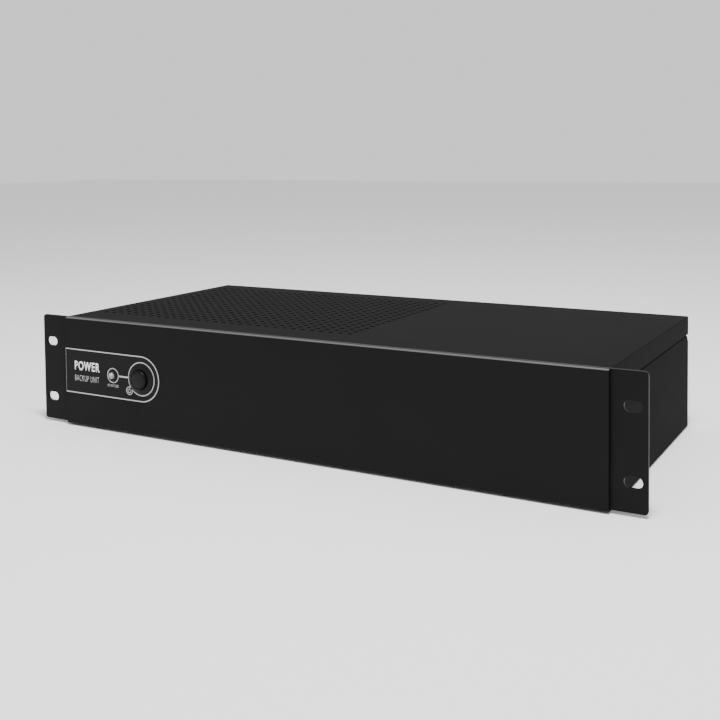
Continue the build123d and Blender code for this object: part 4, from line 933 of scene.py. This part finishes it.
@dataclass
class LabelArtwork:
    """Printed lines, ring, symbol and plain words on the label film."""

    line_mm: float = 0.8
    faint_mm: float = 0.14
    ring_mm: float = 12.95
    lamp_ring_mm: float = 5.8
    lamp_line_mm: float = 0.7
    link_mm: float = 1.2
    symbol_mm: float = 3.2
    symbol_line_mm: float = 0.55
    symbol_offset: tuple[float, float] = (-11.9, -10.0)
    ink_mm: float = 0.05

    def __post_init__(self) -> None:
        """Find the film, the button and the lamp."""
        self.low, self.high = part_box("label_overlay")
        button_low, button_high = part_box("power_button")
        lamp_low, lamp_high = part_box("status_lamp")
        self.button = (button_low + button_high) / 2
        self.lamp = (lamp_low + lamp_high) / 2
        self.y = self.low.y - self.ink_mm * MM

    def at(self, x: float, z: float) -> Vector:
        """A point on the printed face.

        Args:
            x: X in metres.
            z: Z in metres.

        Returns:
            The point.
        """
        return Vector((x, self.y, z))

    def ink(self, piece: Piece, finish: Ink) -> None:
        """Give a flat shape its thickness, ink and place.

        Args:
            piece: the flat shape.
            finish: its ink.
        """
        Bench.modify(piece, "SOLIDIFY", thickness=self.ink_mm * MM * 1.5, offset=-1.0)
        Bench.select_faces(piece, lambda face: True)
        bpy.ops.mesh.normals_make_consistent(inside=False)
        Bench.close_edit()
        Bench.finish(piece, "label_film", finish)

    def hollow(self, piece: Piece, width_mm: float) -> Piece:
        """Turn a filled outline into a line of one width.

        Args:
            piece: the filled outline.
            width_mm: the line's width.

        Returns:
            The same object.
        """
        Bench.open_edit(piece, "FACE", "SELECT")
        bpy.ops.mesh.inset(thickness=width_mm * MM, depth=0.0)
        bpy.ops.mesh.delete(type="FACE")
        Bench.close_edit()
        return piece

    def outline(self) -> None:
        """The border: square at the left, round at the right, with a thinner left edge."""
        radius = (self.high.z - self.low.z) / 2
        middle_z = (self.high.z + self.low.z) / 2
        middle_x = self.high.x - radius
        border = Bench.disc("label_border", self.at(middle_x, middle_z), radius)
        Bench.select_points(border, lambda co: co.x < middle_x - NEAR)
        bpy.ops.mesh.delete(type="VERT")
        Bench.close_edit()
        Bench.select_points(border, lambda co: co.x < middle_x + NEAR)
        bpy.ops.mesh.extrude_verts_indiv()
        bpy.ops.transform.translate(value=(self.low.x - middle_x, 0, 0))
        Bench.close_edit()
        Bench.select_points(border, lambda co: True)
        bpy.ops.mesh.edge_face_add()
        Bench.close_edit()
        self.hollow(border, self.line_mm)
        inner_x = self.low.x + self.line_mm * MM
        Bench.select_points(border, lambda co: abs(co.x - inner_x) < 2 * NEAR)
        bpy.ops.transform.translate(value=(-(self.line_mm - self.faint_mm) * MM, 0, 0))
        Bench.close_edit()
        self.ink(border, SILVER_INK)

    def rings(self) -> None:
        """Rings round the button and the lamp, and the line that links them."""
        for name, centre, radius, line in (
            ("button_ring", self.button, self.ring_mm, self.line_mm),
            ("lamp_ring", self.lamp, self.lamp_ring_mm, self.lamp_line_mm),
        ):
            ring = Bench.disc(name, self.at(centre.x, centre.z), radius * MM)
            self.ink(self.hollow(ring, line), SILVER_INK)
        start = self.lamp.x + (self.lamp_ring_mm - 0.2) * MM
        end = self.button.x - (self.ring_mm - 0.2) * MM
        middle = self.at((start + end) / 2, self.lamp.z)
        self.ink(Bench.panel("ring_link", middle, end - start, self.link_mm * MM), SILVER_INK)

    def symbol(self) -> None:
        """Power symbol: a silver ring round a broken ring and a bar."""
        x = self.button.x + self.symbol_offset[0] * MM
        z = self.button.z + self.symbol_offset[1] * MM
        edge = Bench.disc("symbol_edge", self.at(x, z), self.symbol_mm * MM, 64)
        self.ink(self.hollow(edge, self.symbol_line_mm), SILVER_INK)
        broken = Bench.disc("symbol_ring", self.at(x, z), 0.56 * self.symbol_mm * MM, 48)
        self.hollow(broken, self.symbol_line_mm)
        Bench.select_points(broken, lambda co: co.z > z and abs(co.x - x) < 0.26 * self.symbol_mm * MM)
        bpy.ops.mesh.delete(type="VERT")
        Bench.close_edit()
        self.ink(broken, SILVER_INK)
        bar = Bench.panel("symbol_bar", self.at(x, z + 1.3 * MM), self.symbol_line_mm * MM, 1.7 * MM)
        self.ink(bar, SILVER_INK)

    def words(self, name: str, text: str, low: tuple[float, float], high: tuple[float, float], finish: Ink,
              weight: float = 0.0, spacing: float = 1.1) -> None:
        """Plain words fitted into a box.

        Args:
            name: the object's name.
            text: the words.
            low: the box's lower left corner, in millimetres from the label's left edge and middle.
            high: its upper right corner.
            finish: the ink.
            weight: how much the strokes are thickened.
            spacing: the letters' pitch, as a share of the font's own.
        """
        bpy.ops.object.select_all(action="DESELECT")
        bpy.ops.object.text_add(rotation=Axis.FRONT.value)
        piece = bpy.context.active_object
        piece.name = name
        piece.data.body = text
        piece.data.offset = weight
        piece.data.space_character = spacing
        Bench.pick(piece)
        bpy.ops.object.convert(target="MESH")
        Bench.settle(piece)
        xs = [v.co.x for v in piece.data.vertices]
        zs = [v.co.z for v in piece.data.vertices]
        middle_z = (self.high.z + self.low.z) / 2
        scale_x = (high[0] - low[0]) * MM / (max(xs) - min(xs))
        scale_z = (high[1] - low[1]) * MM / (max(zs) - min(zs))
        piece.scale = (scale_x, 1.0, scale_z)
        piece.location = (
            self.low.x + low[0] * MM - min(xs) * scale_x,
            self.y,
            middle_z + low[1] * MM - min(zs) * scale_z,
        )
        Bench.settle(piece)
        self.ink(piece, finish)

    def build(self) -> None:
        """Print everything."""
        self.outline()
        self.rings()
        self.symbol()
        self.words("word_power", "POWER", (9.3, 0.85), (35.4, 8.0), WHITE_INK, 0.024, 1.16)
        self.words("word_backup", "BACKUP UNIT", (9.3, -7.6), (34.6, -3.0), SILVER_INK, -0.008, 1.2)
        self.words("word_status", "STATUS", (43.5, -8.9), (54.5, -6.9), SILVER_INK)


@dataclass
class Controls:
    """Switch, button and lamp."""

    edge_mm: float = 0.25
    cup_mm: float = 1.5
    cup_deep_mm: float = 1.2
    cup_rim_mm: float = 0.2
    cup_slope_mm: tuple[float, float] = (0.6, -0.7)
    crown_mm: float = 0.7
    crown_steps: tuple[tuple[float, float], ...] = ((0.965, 0.38), (0.95, 0.17), (0.9, 0.08), (0.7, 0.05))

    def crowned_button(self) -> None:
        """The button with a gently domed face inside its softened edge."""
        button = Bench.copy_of("power_button", "power_button_shown")
        low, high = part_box("power_button")
        front = low.y
        middle = Vector(((low.x + high.x) / 2, front, (low.z + high.z) / 2))
        Bench.select_faces(button, lambda face: face.normal.y < -0.99 and face.center.y < front + NEAR)
        bpy.ops.transform.translate(value=(0, self.crown_mm * MM, 0))
        for share, outward in self.crown_steps:
            bpy.ops.mesh.extrude_region()
            bpy.ops.transform.resize(value=(share, 1, share), center_override=middle)
            bpy.ops.transform.translate(value=(0, -outward * MM, 0))
        Bench.close_edit()
        Bench.pick(button)
        bpy.ops.object.shade_smooth_by_angle(angle=math.radians(40))
        Bench.finish(button, "black_button", body="power_button")
        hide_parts("power_button")

    def return_spring(self) -> None:
        """The spring between the switch and the button, copied with its finish and its place baked into its
        mesh; it stays as it is when the button goes in.
        """
        spring = Bench.copy_of("button_spring", "button_spring_shown")
        spring.data.materials.clear()
        spring.data.materials.append(PALETTE.slot(SLOT_OF["button_spring"]))
        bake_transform(spring)
        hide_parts("button_spring")

    def lamp_parts(self) -> None:
        """Reflector cup inside the clear lamp."""
        low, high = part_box("status_lamp")
        x, z = (low.x + high.x) / 2, (low.z + high.z) / 2
        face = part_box("label_overlay")[0].y
        spot = (x, face - self.cup_deep_mm / 2 * MM, z)
        cup = Bench.drum("lamp_cup", spot, self.cup_mm * MM, self.cup_deep_mm * MM, Axis.FRONT, 32)
        Bench.select_faces(cup, lambda face: face.normal.y < -0.9)
        inward, sunk = self.cup_slope_mm
        bpy.ops.mesh.inset(thickness=self.cup_rim_mm * MM, depth=0.0)
        bpy.ops.mesh.inset(thickness=inward * MM, depth=sunk * MM)
        Bench.close_edit()
        # The cup takes the darker chrome metal instead of its slot's tinned brass: painted shade that keeps
        # the lamp's inside dark.
        Bench.finish(cup, "tinned_brass", FINISHES["chrome_wire"])

    def build(self) -> None:
        """Round the moulded edges and fit the lamp's inside."""
        for node in ("switch_body", "lamp_holder", "switch_nut"):
            Bench.refine(node, self.edge_mm)
        self.crowned_button()
        self.return_spring()
        self.lamp_parts()


@dataclass
class RearServices:
    """Contacts and small parts in the sockets on the rear panel."""

    contact_mm: float = 3.7
    slots: tuple[tuple[float, float], ...] = ((-7.0, -2.0), (7.0, -2.0), (0.0, 2.0))
    wire_mm: float = 0.35
    wire_pitch_mm: float = 1.02
    jack_pitch_mm: float = 15.6
    wires: int = 8
    outlets: int = 4
    leaf_mm: tuple[float, float] = (0.4, 12.0)
    leaf_apart_mm: float = 1.5
    leaf_back_mm: float = 9.5
    wire_back_mm: float = 6.0
    wire_drop_mm: float = 3.4
    wire_long_mm: float = 9.0
    wire_slope_mm: float = 1.6
    small: tuple[str, ...] = (
        "inlet_socket", "breaker_body", "breaker_nut", "data_jack", "usb_port", "earth_stud", "inlet_pins",
    )

    def outlet_contacts(self) -> None:
        """A pair of spring leaves in each slot of each outlet."""
        low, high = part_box("outlet_1")
        centre = Vector(((low.x + high.x) / 2, high.y - self.leaf_back_mm * MM, (low.z + high.z) / 2))
        half = Vector((*self.leaf_mm, self.contact_mm)) / 2 * MM
        apart = self.leaf_apart_mm / 2
        spots = [Vector((dx + side * apart, 0, dz)) * MM for dx, dz in self.slots for side in (-1, 1)]
        first = centre + spots[0]
        leaf = Bench.soften(Bench.box("leaf", first - half, first + half), 0.08, 1)
        leaves = Bench.repeated("outlet_1_contacts", leaf, [spot - spots[0] for spot in spots[1:]])
        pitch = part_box("outlet_2")[0].x - low.x
        for number in range(2, self.outlets + 1):
            twin = Bench.duplicate(leaves)
            twin.name = f"outlet_{number}_contacts"
            twin.location.x = (number - 1) * pitch
            Bench.finish(Bench.settle(twin), "nickel")
        Bench.finish(leaves, "nickel")

    def jack_wires(self) -> None:
        """Eight sprung wires in each half of the data jack."""
        low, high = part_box("data_jack")
        half_row = (self.jack_pitch_mm + (self.wires - 1) * self.wire_pitch_mm) / 2 * MM
        start_x = (low.x + high.x) / 2 - half_row
        centre = Vector((start_x, high.y - self.wire_back_mm * MM, high.z - self.wire_drop_mm * MM))
        half = Vector((self.wire_mm, self.wire_long_mm, self.wire_mm)) / 2 * MM
        strand = Bench.box("strand", centre - half, centre + half)
        Bench.select_points(strand, lambda co: co.y < centre.y)
        bpy.ops.transform.translate(value=(0, 0, -self.wire_slope_mm * MM))
        Bench.close_edit()
        row = [Vector((n * self.wire_pitch_mm * MM, 0, 0)) for n in range(1, self.wires)]
        first = Bench.repeated("data_jack_wires", strand, row)
        both = Bench.repeated("data_jack_wires", first, [Vector((self.jack_pitch_mm * MM, 0, 0))])
        Bench.finish(both, "brass")

    def build(self) -> None:
        """Round the mouldings' edges and fit the contacts."""
        for number in range(1, self.outlets + 1):
            Bench.refine(f"outlet_{number}", 0.3)
        for node in self.small:
            Bench.refine(node, 0.2)
        self.outlet_contacts()
        self.jack_wires()


@dataclass
class ExhaustFan:
    """Fan mouldings, guard and the hub's plain sticker."""

    sticker_mm: float = 12.5
    sticker_thick_mm: float = 0.12
    sticker_lift_mm: float = 0.04
    parts: tuple[tuple[str, float], ...] = (("fan_frame", 0.35), ("fan_rotor", 0.3), ("fan_guard", 0.5))

    def build(self) -> None:
        """Round the fan's edges and stick on its plain disc."""
        for node, width in self.parts:
            Bench.refine(node, width)
        low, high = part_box("fan_frame")
        spot = ((low.x + high.x) / 2, high.y + self.sticker_lift_mm * MM, (low.z + high.z) / 2)
        radius, thick = self.sticker_mm * MM, self.sticker_thick_mm * MM
        sticker = Bench.drum("fan_sticker", spot, radius, thick, Axis.FRONT, 64)
        Bench.soften(sticker, 0.03, 1)
        Bench.finish(sticker, "sink_aluminium", Ink("sticker_silver", (0.5, 0.5, 0.52), 0.3))


@dataclass
class Interior:
    """Batteries, transformer and board parts behind the lid."""

    edge_mm: float = 0.4
    turns: int = 26
    turns_left_out: int = 3
    wire_mm: float = 0.9
    ring_share: float = 0.7
    core_share: float = 0.24
    grid: tuple[int, int] = (4, 8)
    grid_pitch_mm: tuple[float, float] = (10.0, 5.0)
    chip_mm: Triple = (2.4, 1.3, 0.7)
    chip_inset_mm: tuple[float, float] = (12.0, 8.0)
    soft: tuple[str, ...] = (
        "battery_1", "battery_2", "battery_1_strap", "battery_2_strap", "transformer_core",
        "transformer_clamp", "heatsink_left", "heatsink_right", "power_transistors", "relays",
        "battery_connectors", "battery_fuse",
    )

    def choke(self) -> None:
        """Ring core wound with round copper turns."""
        low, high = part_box("choke")
        centre = (low + high) / 2
        outer = (high.x - low.x) / 2
        wire = self.wire_mm * MM
        ring_mid = self.ring_share * outer
        thick = self.core_share * outer
        bpy.ops.object.select_all(action="DESELECT")
        bpy.ops.mesh.primitive_torus_add(
            location=centre, major_radius=ring_mid, minor_radius=thick, major_segments=64, minor_segments=16
        )
        Bench.finish(Bench.named("choke_core"), "choke_copper", FINISHES["foam"])
        bpy.ops.object.select_all(action="DESELECT")
        bpy.ops.mesh.primitive_torus_add(
            location=centre + Vector((ring_mid, 0, 0)), rotation=Axis.FRONT.value, major_segments=24,
            major_radius=thick + wire, minor_radius=wire * 0.85, minor_segments=8,
        )
        winding = Bench.settle(bpy.context.active_object)
        step = 2 * math.pi / (self.turns + self.turns_left_out)
        loops = [winding]
        for turn in range(1, self.turns):
            loop = Bench.duplicate(winding)
            turned = Matrix.Rotation(turn * step, 4, "Z")
            loop.matrix_world = Matrix.Translation(centre) @ turned @ Matrix.Translation(-centre)
            loops.append(Bench.settle(loop))
        winding = Bench.joined("choke_winding", loops)
        Bench.pick(winding)
        bpy.ops.object.shade_smooth()
        Bench.finish(winding, "choke_copper")
        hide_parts("choke")

    def capacitor_tops(self) -> None:
        """Bare tops on the capacitor cans."""
        low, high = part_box("capacitors")
        radius = (high.x - low.x) / 2
        spot = Vector((low.x + radius, low.y + radius, high.z - 0.1 * MM))
        top = Bench.soften(Bench.drum("capacitor_tops", spot, radius * 0.8, 0.3 * MM, Axis.UP, 40), 0.1, 1)
        apart = Vector((0, high.y - low.y - 2 * radius, 0))
        Bench.finish(Bench.repeated("capacitor_tops", top, [apart]), "sink_aluminium")

    def passives(self) -> None:
        """Rows of small surface-mounted parts on the main board."""
        low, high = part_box("main_board")
        spot = Vector((low.x + self.chip_inset_mm[0] * MM, high.y - self.chip_inset_mm[1] * MM, high.z))
        wide, deep, tall = self.chip_mm
        half = Vector((wide / 2, deep / 2, 0.0)) * MM
        body = Bench.box("board_passives", spot - half, spot + half + Vector((0, 0, tall)) * MM)
        rows, columns = self.grid
        step_x, step_y = self.grid_pitch_mm
        places = [(column * step_x, -row * step_y, 0) for row in range(rows) for column in range(columns)]
        shifts = [Vector(place) * MM for place in places[1:]]
        chips = Bench.repeated("board_passives", Bench.soften(body, 0.1, 1), shifts)
        Bench.finish(chips, "component_black")

    def build(self) -> None:
        """Round edges and fit the board's small parts."""
        for node in self.soft:
            Bench.refine(node, self.edge_mm)
        self.choke()
        self.capacitor_tops()
        self.passives()


# ---------------------------------------------------------------- stage


@dataclass
class Studio:
    """Pale sweep, soft lights and the camera."""

    lens_mm: float = 51.05
    sensor_mm: float = 36.0
    yaw: float = 29.601
    pitch: float = 2.668
    roll: float = 0.613
    eye_mm: Triple = (384.4, -691.7, 212.9)
    rise: float = -2 / 9
    target: Triple = (0, 0, 0.04)
    floor_m: float = 12.0
    floor_drop_mm: float = 0.2

    def camera(self) -> None:
        """Camera that looks along +Y, turned to the left and tipped down."""
        yaw, pitch, roll = (math.radians(angle) for angle in (self.yaw, self.pitch, self.roll))
        forward = Vector(
            (-math.sin(yaw) * math.cos(pitch), math.cos(yaw) * math.cos(pitch), -math.sin(pitch))
        )
        level = Vector((math.cos(yaw), math.sin(yaw), 0.0))
        down = forward.cross(level)
        right = level * math.cos(roll) + down * math.sin(roll)
        below = down * math.cos(roll) - level * math.sin(roll)
        lens = bpy.data.cameras.new("camera")
        lens.sensor_width = self.sensor_mm
        lens.lens = self.lens_mm
        lens.shift_y = self.rise
        lens.clip_start = 0.01
        eye = bpy.data.objects.new("camera", lens)
        eye.matrix_world = Matrix.Translation(Vector(self.eye_mm) * MM) @ Matrix(
            (
                (right.x, -below.x, -forward.x),
                (right.y, -below.y, -forward.y),
                (right.z, -below.z, -forward.z),
            )
        ).to_4x4()
        bpy.context.scene.collection.objects.link(eye)
        bpy.context.scene.camera = eye

    def sweep(self) -> None:
        """Plain pale floor."""
        bpy.ops.object.select_all(action="DESELECT")
        bpy.ops.mesh.primitive_plane_add(size=self.floor_m, location=(0, 0, -self.floor_drop_mm * MM))
        floor = bpy.context.active_object
        floor.name = "floor"
        shader = Shader("floor_white")
        shader.colours(shader.noise(300.0), (0.86, 0.86, 0.86), (0.88, 0.88, 0.88))
        shader.fixed(Roughness=0.9, Specular_IOR_Level=0.1)
        floor.data.materials.append(shader.material)

    def lamp(
        self, name: str, place: Triple, size: tuple[float, float], power: float
    ) -> None:
        """A rectangular soft light aimed at the case.

        Args:
            name: the light's name.
            place: where it hangs, in metres.
            size: its width and height, in metres.
            power: its power, in watts.
        """
        data = bpy.data.lights.new(name, "AREA")
        data.shape = "RECTANGLE"
        data.size, data.size_y = size
        data.energy = power
        light = bpy.data.objects.new(name, data)
        light.location = place
        light.rotation_euler = (Vector(self.target) - Vector(place)).to_track_quat("-Z", "Y").to_euler()
        bpy.context.scene.collection.objects.link(light)

    def world(self) -> None:
        """Even white surroundings."""
        world = bpy.data.worlds.new("surroundings")
        world.use_nodes = True
        world.node_tree.nodes["Background"].inputs["Color"].default_value = (1.0, 1.0, 1.0, 1.0)
        world.node_tree.nodes["Background"].inputs["Strength"].default_value = 1.0
        bpy.context.scene.world = world

    def build(self) -> None:
        """Set the stage."""
        self.camera()
        self.sweep()
        self.world()
        self.lamp("key", (0.3, -0.4, 1.45), (0.3, 0.3), 34.0)
        self.lamp("fill", (-1.2, -1.6, 0.9), (1.2, 1.0), 0.6)


def main() -> None:
    """Build the looks in order."""
    logging.basicConfig(level=logging.INFO, format="%(message)s")
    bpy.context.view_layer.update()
    assemblies = (
        Studio(), Dressing(), Enclosure(), LabelArtwork(), Controls(), CrossHeads(), RearServices(),
        ExhaustFan(), Interior(),
    )
    for assembly in assemblies:
        assembly.build()
        log.info("built %s", type(assembly).__name__)


if __name__ == "__main__":
    main()
